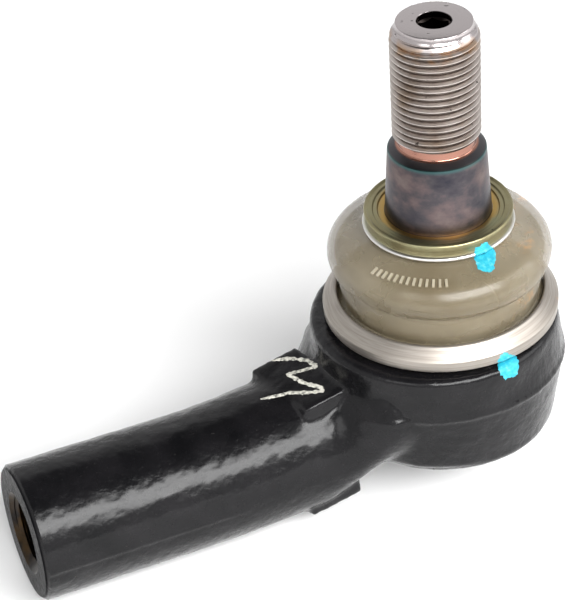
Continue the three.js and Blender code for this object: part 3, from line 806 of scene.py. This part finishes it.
def rolled_thread(steel, height, radius):
    """Bright crests, painted shade in the thread roots, a satin tip with amber stains, and painted shade in
    the hex socket.
    """
    patchy = steel.noise(170, 4, 0.6)
    rolled = steel.colours(
        patchy,
        (0.3, (0.4, 0.35, 0.32)),
        (0.5, (0.5, 0.45, 0.42)),
        (0.66, (0.54, 0.49, 0.46)),
    )
    oil_tint = steel.band(steel.noise(95, 3, 0.6), 0.54, 0.7)
    rolled = steel.over(steel.times(oil_tint, 0.5), rolled, (0.34, 0.24, 0.15))
    # Darker brown towards the thread roots: painted shade in the grooves.
    root = steel.band(radius, THREAD_RADIUS - 0.2, THREAD_RADIUS - THREAD_DEPTH * 0.9)
    rolled = steel.over(steel.times(root, 0.75), rolled, (0.11, 0.08, 0.065))
    satin = steel.band(height, thread_end - 0.4, thread_end + 0.9)
    rolled = steel.over(satin, rolled, (0.47, 0.43, 0.43))
    under_tip = steel.times(
        steel.band(height, thread_end - 3, thread_end - 0.6),
        steel.band(height, thread_end + 2.2, thread_end + 0.8),
    )
    spots = steel.band(steel.noise(210, 2, 0.5), 0.5, 0.62)
    amber = steel.times(under_tip, steel.times(spots, 0.5))
    rolled = steel.over(amber, rolled, (0.42, 0.23, 0.08))
    # Dark tone inside the hex socket: painted shade in the recess.
    in_socket = steel.times(
        steel.band(radius, HEX_MOUTH_RADIUS + 0.15, HEX_MOUTH_RADIUS - 0.05),
        steel.band(height, stud_end - 20, stud_end - 10),
    )
    socket_shade_tone = steel.colours(patchy, (0.4, (0.05, 0.04, 0.035)), (0.6, (0.12, 0.1, 0.09)))
    rolled = steel.over(in_socket, rolled, socket_shade_tone)
    specks = steel.band(steel.noise(620, 2, 0.4), 0.72, 0.76)
    return steel.over(steel.times(specks, 0.85), rolled, (0.03, 0.025, 0.02))


def stud_finish():
    """Greased below the boot, blued on the taper, coppery in the run-out groove and rolled above."""
    steel = Finish("stud_steel", Metallic=1.0, Specular_IOR_Level=0.5)
    height = steel.math("DIVIDE", steel.z, MM)
    radius = steel.math("DIVIDE", steel.from_axis(), MM)
    stretched = steel.vector(
        steel.times(steel.x, 130.0),
        steel.times(steel.y, 130.0),
        steel.times(steel.z, 190.0),
    )
    smear = steel.noise(1.0, 4, 0.6, stretched)
    copper = steel.times(
        steel.band(radius, GROOVE_RADIUS + 0.7, GROOVE_RADIUS + 0.2),
        steel.band(height, taper_top - 0.5, taper_top + 0.3),
    )
    lower = steel.over(copper, blued_taper(steel, height, smear), (0.36, 0.18, 0.135))
    on_thread = steel.band(height, thread_start - 0.3, thread_start + 0.3)
    whole = steel.over(on_thread, lower, rolled_thread(steel, height, radius))
    greased = steel.band(height, taper_base - 1, taper_base - 2)
    steel.set("Base Color", steel.over(greased, whole, (0.05, 0.042, 0.03)))
    ground = steel.math("MULTIPLY_ADD", smear, 0.3, 0.2)
    steel.set("Roughness", steel.math("SUBTRACT", ground, steel.times(copper, 0.17)))
    steel.relief(steel.turning(3000), 0.00006, 0.3)
    steel.relief(steel.noise(1400, 3, 0.6), 0.0001, 0.2)
    return steel


ball_stud = shank()
worked(ball_stud, thread(), "UNION")
for cutter in hex_key():
    worked(ball_stud, cutter)
ball_stud.name = "ball_stud_finished"
shaded(ball_stud, 40)
dressed(ball_stud, stud_finish())
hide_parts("ball_stud")
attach(ball_stud, "stud")

# ---------------------------------------------------------------- dust boot
# A blow-moulded polyurethane bellows, translucent amber. Its foot bead sits on the housing's spigot under the
# clamp ring. A wire ring in its neck bead holds it on the stud's taper, under the collar.

boot_low, boot_high = span("dust_boot")
insert_low, insert_high = span("boot_neck_insert")

BOOT_WALL = 1.5
CREASE_DEPTH = 2.6
RING_INSET = 1.2

bulge_radius = boot_high.x
bulge_height = mix(ring_high.z, collar_low.z, 0.6)
crease_height = mix(ring_high.z, collar_low.z, 0.33)
roll_height = mix(ring_high.z, collar_low.z, 0.13)
collar_radius = collar_high.x - 0.3


def flowing(points, steps=8):
    """A smooth line through the points of an outline."""
    ends = [2 * Vector(points[0]) - Vector(points[1]), 2 * Vector(points[-1]) - Vector(points[-2])]
    line = [ends[0], *[Vector(p) for p in points], ends[1]]
    smooth = []
    for i in range(1, len(line) - 2):
        a, b, c, d = line[i - 1:i + 3]
        bend = 2 * a - 5 * b + 4 * c - d
        turn_in = 3 * b - a - 3 * c + d
        for t in np.linspace(0, 1, steps, endpoint=False):
            smooth.append(0.5 * (2 * b + (c - a) * t + bend * t ** 2 + turn_in * t ** 3))
    return [tuple(p) for p in (*smooth, line[-2])]


def boot_outside():
    """From the clamp ring, over the lower roll and the crease, round the bulge and up to the collar."""
    roll_radius = ring_high.x - RING_INSET - 2.5
    return flowing([
        (roll_radius - 0.5, ring_high.z - 0.8),
        (roll_radius, roll_height),
        (roll_radius - 0.1, roll_height + 1.4),
        (bulge_radius - CREASE_DEPTH, crease_height),
        (bulge_radius - 1.5, crease_height + 0.9),
        (bulge_radius - 0.35, bulge_height - 1.9),
        (bulge_radius, bulge_height),
        (bulge_radius - 0.45, bulge_height + 1.8),
        (bulge_radius - 2.1, bulge_height + 3.7),
        (collar_radius + 2.9, collar_low.z - 1.6),
        (collar_radius - 0.9, collar_low.z - 0.35),
    ])


def boot_outline():
    """The whole wall: outside, neck bead with the wire's slot, inside, and foot bead."""
    outer = boot_outside()
    inner = []
    for i in range(1, len(outer) - 4):
        along = (Vector(outer[i + 1]) - Vector(outer[i - 1])).normalized()
        inner.append((outer[i][0] - along.y * BOOT_WALL, outer[i][1] + along.x * BOOT_WALL))
    bead = ring_high.x - RING_INSET - GAP
    slot_floor, slot_outer = insert_low.z - GAP, insert_high.x + GAP
    wire = (insert_high.z - insert_low.z) / 2
    slot_inner = slot_outer - 2 * wire - 2 * GAP
    bead_top = boot_high.z
    seal = taper_base_radius + GAP
    neck = eased([
        (collar_radius - 1.35, bead_top),
        (slot_outer, bead_top),
        (slot_outer, slot_floor),
        (slot_inner, slot_floor),
        (slot_inner, bead_top),
        (seal + 0.2, bead_top),
        (seal, bead_top - 0.8),
        (seal, collar_low.z - 0.6),
    ], 0.15, 2)
    foot = [
        (spigot_radius + GAP, housing_top + GAP),
        (spigot_radius + GAP, boot_low.z),
        (bead, boot_low.z),
        (bead, boot_low.z + 2.2),
    ]
    return [*outer, *neck, *reversed(inner), *foot]


dust_boot = turned("dust_boot_finished", boot_outline(), 224)
shaded(dust_boot, 50)

urethane = Finish(
    "urethane", Transmission_Weight=0.2, IOR=1.4, Alpha=0.54, Coat_Weight=0.4, Coat_Roughness=0.2,
)
tone = urethane.colours(
    urethane.noise(70, 3, 0.5),
    (0.3, (0.22, 0.175, 0.105)),
    (0.55, (0.28, 0.235, 0.155)),
    (0.75, (0.35, 0.3, 0.21)),
)
# Amber patches, laid only on the +x side of the boot.
amber_patch = urethane.band(urethane.noise(120, 4, 0.65), 0.54, 0.68)
plus_x_side = urethane.band(urethane.x, 0.002, 0.016)
amber_on_plus_x = urethane.times(urethane.times(amber_patch, plus_x_side), 0.8)
urethane.set("Base Color", urethane.over(amber_on_plus_x, tone, (0.66, 0.34, 0.1)))
urethane.set("Roughness", urethane.math("MULTIPLY_ADD", urethane.noise(150, 2), 0.16, 0.2))
dressed(dust_boot, urethane)
dressed(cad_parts["boot_neck_insert"], oiled_spring)
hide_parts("dust_boot")

# ---------------------------------------------------------------- moulded ticks
# A row of plain tick bars on the boot's shoulder, as a mould's cavity count leaves them. They are the boot's
# own polyurethane, frosted by the mould, and tinted paler than the boot as a painted highlight.

TICKS = 13
TICK_START = math.radians(-157)
TICK_END = math.radians(-112)
TICK_SIZE = (0.5, 1.8, 0.5)

# Paler than the boot: a painted highlight where the ticks catch the light. The roughness is the mould's
# frosting.
frosted_and_highlight = Finish("frosted_urethane_painted_highlight", Transmission_Weight=0.2, Roughness=0.45)
frosted_and_highlight.mottled(frosted_and_highlight.noise(500), (0.36, 0.32, 0.23), (0.48, 0.43, 0.33))


def tick_row(radius, height, slope):
    """Bars set round part of a circle, each turned to face out and laid on the boot's slope."""
    tree = bpy.data.node_groups.new("tick_row", "GeometryNodeTree")
    add = tree.interface.new_socket
    add("Geometry", in_out="INPUT", socket_type="NodeSocketGeometry")
    kinds = {
        "Count": "Int",
        "Radius": "Float",
        "Start": "Float",
        "Sweep": "Float",
        "Size": "Vector",
        "Lift": "Vector",
        "Slope": "Float",
        "Finish": "Material",
    }
    sockets = {
        name: add(name, in_out="INPUT", socket_type="NodeSocket" + kind)
        for name, kind in kinds.items()
    }
    add("Geometry", in_out="OUTPUT", socket_type="NodeSocketGeometry")
    given = tree.nodes.new("NodeGroupInput").outputs
    line = tree.nodes.new("GeometryNodeCurveArc")
    bar = tree.nodes.new("GeometryNodeMeshCube")
    out = tree.nodes.new("GeometryNodeCurveToPoints")
    place = tree.nodes.new("GeometryNodeInstanceOnPoints")
    lean = tree.nodes.new("GeometryNodeRotateInstances")
    face = tree.nodes.new("GeometryNodeRotateInstances")
    turn = tree.nodes.new("ShaderNodeMath")
    step = tree.nodes.new("ShaderNodeMath")
    last = tree.nodes.new("ShaderNodeMath")
    index = tree.nodes.new("GeometryNodeInputIndex")
    about_z = tree.nodes.new("ShaderNodeCombineXYZ")
    about_y = tree.nodes.new("ShaderNodeCombineXYZ")
    lift = tree.nodes.new("GeometryNodeTransform")
    real = tree.nodes.new("GeometryNodeRealizeInstances")
    paint = tree.nodes.new("GeometryNodeSetMaterial")
    result = tree.nodes.new("NodeGroupOutput")
    link = tree.links.new
    link(given["Count"], line.inputs["Resolution"])
    link(given["Radius"], line.inputs["Radius"])
    link(given["Start"], line.inputs["Start Angle"])
    link(given["Sweep"], line.inputs["Sweep Angle"])
    out.mode = "EVALUATED"
    link(line.outputs["Curve"], out.inputs["Curve"])
    link(given["Size"], bar.inputs["Size"])
    link(out.outputs["Points"], place.inputs["Points"])
    link(bar.outputs["Mesh"], place.inputs["Instance"])
    last.operation = "SUBTRACT"
    link(given["Count"], last.inputs[0])
    last.inputs[1].default_value = 1
    step.operation = "DIVIDE"
    link(given["Sweep"], step.inputs[0])
    link(last.outputs[0], step.inputs[1])
    turn.operation = "MULTIPLY_ADD"
    link(index.outputs[0], turn.inputs[0])
    link(step.outputs[0], turn.inputs[1])
    link(given["Start"], turn.inputs[2])
    link(turn.outputs[0], about_z.inputs[2])
    link(given["Slope"], about_y.inputs[1])
    link(place.outputs[0], face.inputs["Instances"])
    link(about_z.outputs[0], face.inputs["Rotation"])
    link(face.outputs[0], lean.inputs["Instances"])
    link(about_y.outputs[0], lean.inputs["Rotation"])
    link(lean.outputs[0], lift.inputs["Geometry"])
    link(given["Lift"], lift.inputs["Translation"])
    link(lift.outputs[0], real.inputs["Geometry"])
    link(real.outputs[0], paint.inputs["Geometry"])
    link(given["Finish"], paint.inputs["Material"])
    link(paint.outputs[0], result.inputs[0])
    corners = [(0, 0, 0), (1, 0, 0), (0, 1, 0), (0, 0, 1)]
    piece = made("moulded_ticks", corners, [(0, 2, 1), (0, 1, 3), (1, 2, 3), (2, 0, 3)])
    row = piece.modifiers.new("Ticks", "NODES")
    row.node_group = tree
    along, across, thick = TICK_SIZE
    values = {
        "Count": TICKS,
        "Radius": radius * MM,
        "Start": TICK_START,
        "Sweep": TICK_END - TICK_START,
        "Size": (across * MM, along * MM, thick * MM),
        "Lift": (0.0, 0.0, height * MM),
        "Slope": slope,
        "Finish": frosted_and_highlight.material,
    }
    for name, value in values.items():
        row[sockets[name].identifier] = value
    piece.data.update()
    finished(piece)
    return piece


def boot_point(share):
    """A point on the boot's upper slope and the slope there, from the bulge (0) to the collar (1)."""
    line = [p for p in boot_outside() if p[1] > bulge_height]
    i = int(share * (len(line) - 2))
    here, after = Vector(line[i]), Vector(line[i + 1])
    return here, math.atan2(after.y - here.y, here.x - after.x)


tick_place, tick_slope = boot_point(0.66)
moulded_ticks = tick_row(tick_place.x, tick_place.y, tick_slope)

# ---------------------------------------------------------------- boot clamp ring
# A bright steel ring with a rolled cone at the top. It is pressed over the boot's foot bead on the spigot.

RING_WALL = 1.2
RING_CONE = 2.4
RING_SKIRT = 0.45
RING_EDGE = 0.28

ring_radius = ring_high.x
ring_middle = mix(ring_low.z, ring_high.z, RING_SKIRT)
boot_clamp_ring = turned("boot_clamp_ring_finished", eased([
    (ring_radius - RING_WALL, ring_low.z),
    (ring_radius - 0.1, ring_low.z),
    (ring_radius, ring_middle),
    (ring_radius - RING_CONE, ring_high.z - 0.15),
    (ring_radius - RING_CONE - 0.5, ring_high.z),
    (ring_radius - RING_CONE - 0.8, ring_high.z - 0.5),
    (ring_radius - RING_WALL, ring_middle - 0.3),
], RING_EDGE, 4), 256)
shaded(boot_clamp_ring, 60)

ring_steel = Finish("ring_steel", Metallic=1.0)
brushed = ring_steel.turning(2600, 3)
smudge = ring_steel.noise(110, 4, 0.6)
ring_tone = ring_steel.colours(brushed, (0.3, (0.3, 0.27, 0.24)), (0.7, (0.43, 0.395, 0.355)))
rust = ring_steel.times(ring_steel.band(smudge, 0.56, 0.7), ring_steel.band(ring_steel.x, 0.006, 0.022))
ring_steel.set("Base Color", ring_steel.over(ring_steel.times(rust, 0.6), ring_tone, (0.55, 0.36, 0.2)))
ring_steel.set("Roughness", ring_steel.math("MULTIPLY_ADD", smudge, 0.2, 0.34))
ring_steel.relief(brushed, 0.00006, 0.5)
dressed(boot_clamp_ring, ring_steel)
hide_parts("boot_clamp_ring")
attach(boot_clamp_ring, "housing")

# ---------------------------------------------------------------- boot collar
# A turned steel cap with yellow zinc passivation. It holds the boot's neck bead on the taper, and its face
# keeps the shallow steps of the turning tool.

COLLAR_WALL = 1
COLLAR_STEPS = 3
COLLAR_STEP = 0.2
COLLAR_EDGE = 0.5
COLLAR_LIP = 0.3
COLLAR_BEAD = 0.42
COLLAR_FIT = 0.12


def collar_outline():
    """A stepped face, a rounded edge, a slightly hollow wall with a rolled lip, and the bead's recess."""
    outer = collar_high.x - COLLAR_LIP
    inner = taper_base_radius + COLLAR_FIT
    deck_inner = inner - (collar_high.z - collar_low.z) * TAPER_SLOPE
    width = (outer - inner - 2 * COLLAR_EDGE) / COLLAR_STEPS
    deck = []
    for i in range(COLLAR_STEPS):
        start = inner + COLLAR_EDGE / 2 + width * i
        level = collar_high.z - COLLAR_STEP * (COLLAR_STEPS - i)
        deck += [(start, level), (start + width * 0.62, level)]
        deck.append((start + width * 0.8, level - COLLAR_STEP * 0.4))
    wall_low = collar_low.z
    return [
        (deck_inner, collar_high.z - COLLAR_STEP * COLLAR_STEPS),
        *deck,
        (outer - COLLAR_EDGE, collar_high.z - 0.05),
        *arc(outer - COLLAR_EDGE, collar_high.z - COLLAR_EDGE, COLLAR_EDGE, 90, 0, 4),
        (outer - 0.35, mix(wall_low, collar_high.z, 0.55)),
        (outer - 0.25, wall_low + 0.95),
        *arc(outer - 0.1, wall_low + COLLAR_BEAD, COLLAR_BEAD, 60, -90, 8),
        (outer - COLLAR_WALL, wall_low),
        (outer - COLLAR_WALL, collar_high.z - COLLAR_WALL),
        (inner, collar_high.z - COLLAR_WALL),
    ]


boot_collar = turned("boot_collar_finished", collar_outline(), 256)
shaded(boot_collar, 34)

zinc = Finish("zinc_yellow", Metallic=1.0)
bloom = zinc.noise(140, 4, 0.6)
yellow = zinc.colours(
    bloom,
    (0.3, (0.25, 0.22, 0.12)),
    (0.5, (0.31, 0.28, 0.16)),
    (0.7, (0.3, 0.3, 0.18)),
)
wander = zinc.math("MULTIPLY_ADD", bloom, 0.003, zinc.from_axis())
oil = zinc.band(wander, (taper_base_radius + 3.2) * MM, (taper_base_radius + 1.9) * MM)
yellow = zinc.over(zinc.times(oil, 0.75), yellow, (0.5, 0.3, 0.07))
pits = zinc.band(zinc.noise(560, 2, 0.4), 0.73, 0.77)
yellow = zinc.over(zinc.times(pits, 0.8), yellow, (0.05, 0.045, 0.03))
collar_level = zinc.math("DIVIDE", zinc.z, MM)
# Near-white band on the rolled lip at the foot of the wall: a painted highlight.
lip_highlight = zinc.band(collar_level, collar_low.z + 1.1, collar_low.z + 0.6)
zinc.set("Base Color", zinc.over(lip_highlight, yellow, (0.8, 0.79, 0.77)))
zinc.set("Roughness", zinc.math("MULTIPLY_ADD", bloom, 0.2, 0.22))
zinc.relief(zinc.turning(2400, 2), 0.00006, 0.5)
dressed(boot_collar, zinc)
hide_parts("boot_collar")
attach(boot_collar, "boot_neck")

# ---------------------------------------------------------------- inspector's paint marks
# Two dabs of blue paint show that collar and ring were checked, and a pale stroke on the neck's pad was made
# by hand with a paint stick. They are thin skins of dried paint.

DAB_THICKNESS = 0.12
STROKE_THICKNESS = 0.07
STROKE_WIDTH = 1.05
PAINT_EDGE = 0.02
PAINT_SUNK = 0.05
RAGGED = ((0.28, 1.7), (0.16, 5), (0.08, 16))


def skin_of(*pieces):
    """What a brush would touch of these pieces."""
    points, faces = [], []
    for piece in pieces:
        start = len(points)
        points += [v.co / MM for v in piece.data.vertices]
        faces += [[start + k for k in f.vertices] for f in piece.data.polygons]
    return BVHTree.FromPolygons(points, faces)


def dab(name, skin, place, facing, size, seed):
    """A ragged round of paint at an (angle, radius, height), pressed on from where it faces."""
    rings, spokes = 12, 96
    turn, tilt = facing
    side = Vector((-math.sin(turn), math.cos(turn), 0))
    back = Vector((math.cos(turn) * math.cos(tilt), math.sin(turn) * math.cos(tilt), math.sin(tilt)))
    up = back.cross(side)
    angle, radius, height = place
    centre = Vector((radius * math.cos(angle), radius * math.sin(angle), height))
    width, tall = size
    fronts = []
    for ring in range(rings + 1):
        for spoke in range(spokes if ring else 1):
            a = 2 * math.pi * spoke / spokes
            round_place = Vector((math.cos(a), math.sin(a), 0))
            ragged = 1
            for swell, detail in RAGGED:
                ragged += swell * noise.noise(round_place * detail + Vector((0, 0, seed)))
            reach = ring / rings * ragged / 2
            spot = centre + side * (math.cos(a) * reach * width) + up * (math.sin(a) * reach * tall)
            hit, normal, _, _ = skin.ray_cast(spot + back * 40, -back)
            edge = 1 - (ring / rings) ** 4
            fronts.append((hit, normal, PAINT_EDGE + DAB_THICKNESS * edge))
    return coat(name, fronts, rings, spokes)


def coat(name, fronts, rings, spokes):
    """A closed skin of paint on a fan of surface points."""
    top = [hit + normal * thick for hit, normal, thick in fronts]
    back = [hit - normal * PAINT_SUNK for hit, normal, thick in fronts]
    count = len(top)
    faces = []
    for offset in (0, count):
        for k in range(spokes):
            n = (k + 1) % spokes
            faces.append((offset, offset + 1 + k, offset + 1 + n))
            for ring in range(rings - 1):
                low, high = offset + 1 + ring * spokes, offset + 1 + (ring + 1) * spokes
                faces.append((low + k, high + k, high + n, low + n))
    rim = 1 + (rings - 1) * spokes
    for k in range(spokes):
        n = (k + 1) % spokes
        faces.append((rim + k, rim + n, count + rim + n, count + rim + k))
    return made(name, top + back, faces)


def stroke(name, skin, route):
    """A line drawn on from above, along a route of (x, y) points."""
    line = [Vector((x, y, 0)) for x, y in route]
    steps = [(line[i], line[i + 1]) for i in range(len(line) - 1)]
    centre = [a.lerp(b, t) for a, b in steps for t in np.linspace(0, 1, 16, endpoint=False)]
    centre.append(line[-1])
    across = 9
    rows = []
    for i, place in enumerate(centre):
        before, after = centre[max(0, i - 1)], centre[min(len(centre) - 1, i + 1)]
        along = (after - before).normalized()
        side = Vector((-along.y, along.x, 0))
        half = STROKE_WIDTH / 2 * (0.85 + 0.5 * noise.noise(place * 1.4))
        half *= min(1, 0.25 + i / 5, 0.25 + (len(centre) - 1 - i) / 5)
        row = []
        for k in range(across):
            share = 2 * k / (across - 1) - 1
            start = place + side * (share * half)
            start.z = 40
            hit, normal, _, _ = skin.ray_cast(start, Vector((0, 0, -1)))
            row.append((hit, normal, PAINT_EDGE + STROKE_THICKNESS * (1 - share ** 4)))
        rows.append(row)
    top = [hit + normal * thick for row in rows for hit, normal, thick in row]
    back = [hit - normal * PAINT_SUNK for row in rows for hit, normal, thick in row]
    count, last = len(top), (len(rows) - 1) * across
    faces = []
    for offset in (0, count):
        for i in range(len(rows) - 1):
            for k in range(across - 1):
                here = offset + i * across + k
                faces.append((here, here + 1, here + across + 1, here + across))
    rim = [*range(across), *range(2 * across - 1, last, across), *range(last + across - 1, last - 1, -1)]
    rim += range(last - across, 0, -across)
    for i, here in enumerate(rim):
        after = rim[(i + 1) % len(rim)]
        faces.append((here, after, count + after, count + here))
    return made(name, top + back, faces)


blue_paint = Finish("blue_paint", Roughness=0.55)
blue_paint.set("Base Color", blue_paint.colours(
    blue_paint.noise(900, 4, 0.7),
    (0.3, (0.005, 0.26, 0.38)),
    (0.55, (0.02, 0.38, 0.48)),
    (0.75, (0.2, 0.55, 0.62)),
))
blue_paint.relief(blue_paint.noise(1600, 3), 0.0002, 0.5)
pale_paint = Finish("pale_paint", Roughness=0.6)
pale_paint.set("Base Color", pale_paint.colours(
    pale_paint.noise(1300, 4, 0.7),
    (0.38, (0.1, 0.1, 0.09)),
    (0.5, (0.5, 0.49, 0.43)),
    (0.7, (0.72, 0.7, 0.63)),
))
pale_paint.relief(pale_paint.noise(1800, 3), 0.0002, 0.5)

upper_skin = skin_of(boot_collar, dust_boot)
lower_skin = skin_of(boot_clamp_ring, forged_body)
facing = (math.radians(-112), math.radians(38))
lip_place = (math.radians(-81.5), collar_high.x + 0.7, collar_low.z - 0.3)
edge_place = (math.radians(-83.5), ring_high.x + 0.6, ring_low.z - 1)
collar_dab = dab("collar_paint_dab", upper_skin, lip_place, facing, (4.5, 5.6), 3)
ring_dab = dab("ring_paint_dab", lower_skin, edge_place, facing, (4.8, 4.9), 8)
pad_route = [
    (-35.6, 8.7),
    (-32.2, 6.5),
    (-29.5, 3.8),
    (-28.7, 0.8),
    (-34.5, 2.6),
    (-32.9, -1.5),
    (-30.4, -5.2),
    (-30.5, -6.4),
    (-33.5, -4.6),
    (-36.4, -2.2),
    (-42.2, -0.6),
]
pad_stroke = stroke("pad_paint_stroke", skin_of(forged_body), pad_route)
for mark in (collar_dab, ring_dab, pad_stroke):
    shaded(mark, 60)
dressed(collar_dab, blue_paint)
dressed(ring_dab, blue_paint)
dressed(pad_stroke, pale_paint)
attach(ring_dab, "housing")
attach(pad_stroke, "housing")
for soft in (dust_boot, moulded_ticks, collar_dab):
    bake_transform(soft)

# ---------------------------------------------------------------- studio
# A pale floor, a large soft key from the front and above, fills from both sides, and a long-lens camera.
# The sweep behind the part is white up to head height and the room above it is dark.

CAMERA_PLACE = Vector((-0.17883, -0.37074, 0.32166))
CAMERA_YAW = math.radians(-21.148)
CAMERA_PITCH = math.radians(35.425)
CAMERA_ROLL = math.radians(3.957)
CAMERA_LENS = 144

floor_mesh = bpy.data.meshes.new("floor")
floor_mesh.from_pydata([(-3, -3, 0), (3, -3, 0), (3, 3, 0), (-3, 3, 0)], [], [(0, 1, 2, 3)])
floor_mesh.transform(Matrix.Translation((0, 0, cad_low.z - 0.0003)))
floor = bpy.data.objects.new("floor", floor_mesh)
bpy.context.scene.collection.objects.link(floor)
floor_paint = Finish("floor_paint", Roughness=0.8)
floor_paint.mottled(floor_paint.noise(3), (0.93, 0.93, 0.93), (0.95, 0.95, 0.95))
floor_mesh.materials.append(floor_paint.material)


def softbox(name, place, aim, size, power):
    """A rectangular area light, turned to face its aim."""
    light = bpy.data.lights.new(name, "AREA")
    light.shape = "RECTANGLE"
    light.size, light.size_y = size
    light.energy = power
    lamp = bpy.data.objects.new(name, light)
    lamp.location = place
    lamp.rotation_euler = (Vector(aim) - Vector(place)).to_track_quat("-Z", "Y").to_euler()
    bpy.context.scene.collection.objects.link(lamp)


softbox("key", (0.12, -0.88, 0.74), (-0.03, 0, 0.02), (1.1, 0.5), 24)
softbox("right_fill", (0.9, -0.35, 0.5), (0, 0, 0.04), (0.5, 0.6), 2.5)
softbox("left_fill", (-0.9, -0.6, 0.8), (-0.03, 0, 0.03), (0.5, 0.5), 2)

world = bpy.data.worlds.new("studio")
world.use_nodes = True
sky = world.node_tree.nodes
direction = sky.new("ShaderNodeTexCoord")
split = sky.new("ShaderNodeSeparateXYZ")
fade = sky.new("ShaderNodeValToRGB")
fade.color_ramp.elements[0].position = 0.64
fade.color_ramp.elements[0].color = (1, 1, 1, 1)
fade.color_ramp.elements[1].position = 0.82
fade.color_ramp.elements[1].color = (0.06, 0.06, 0.06, 1)
world.node_tree.links.new(direction.outputs["Generated"], split.inputs[0])
world.node_tree.links.new(split.outputs["Z"], fade.inputs[0])
world.node_tree.links.new(fade.outputs[0], sky["Background"].inputs["Color"])
sky["Background"].inputs["Strength"].default_value = 0.85
bpy.context.scene.world = world
bpy.context.scene.view_settings.view_transform = "Standard"

turn = Matrix.Rotation(CAMERA_YAW, 3, "Z")
forward = turn @ Vector((0, math.cos(CAMERA_PITCH), -math.sin(CAMERA_PITCH)))
right = turn @ Vector((1, 0, 0))
down = forward.cross(right)
rolled_right = right * math.cos(CAMERA_ROLL) + down * math.sin(CAMERA_ROLL)
rolled_down = down * math.cos(CAMERA_ROLL) - right * math.sin(CAMERA_ROLL)
camera = bpy.data.objects.new("camera", bpy.data.cameras.new("camera"))
camera.data.lens = CAMERA_LENS
camera.data.clip_start = 0.01
camera.rotation_mode = "QUATERNION"
camera.location = CAMERA_PLACE
camera.rotation_quaternion = Matrix((rolled_right, -rolled_down, -forward)).transposed().to_quaternion()
bpy.context.scene.collection.objects.link(camera)
bpy.context.scene.camera = camera
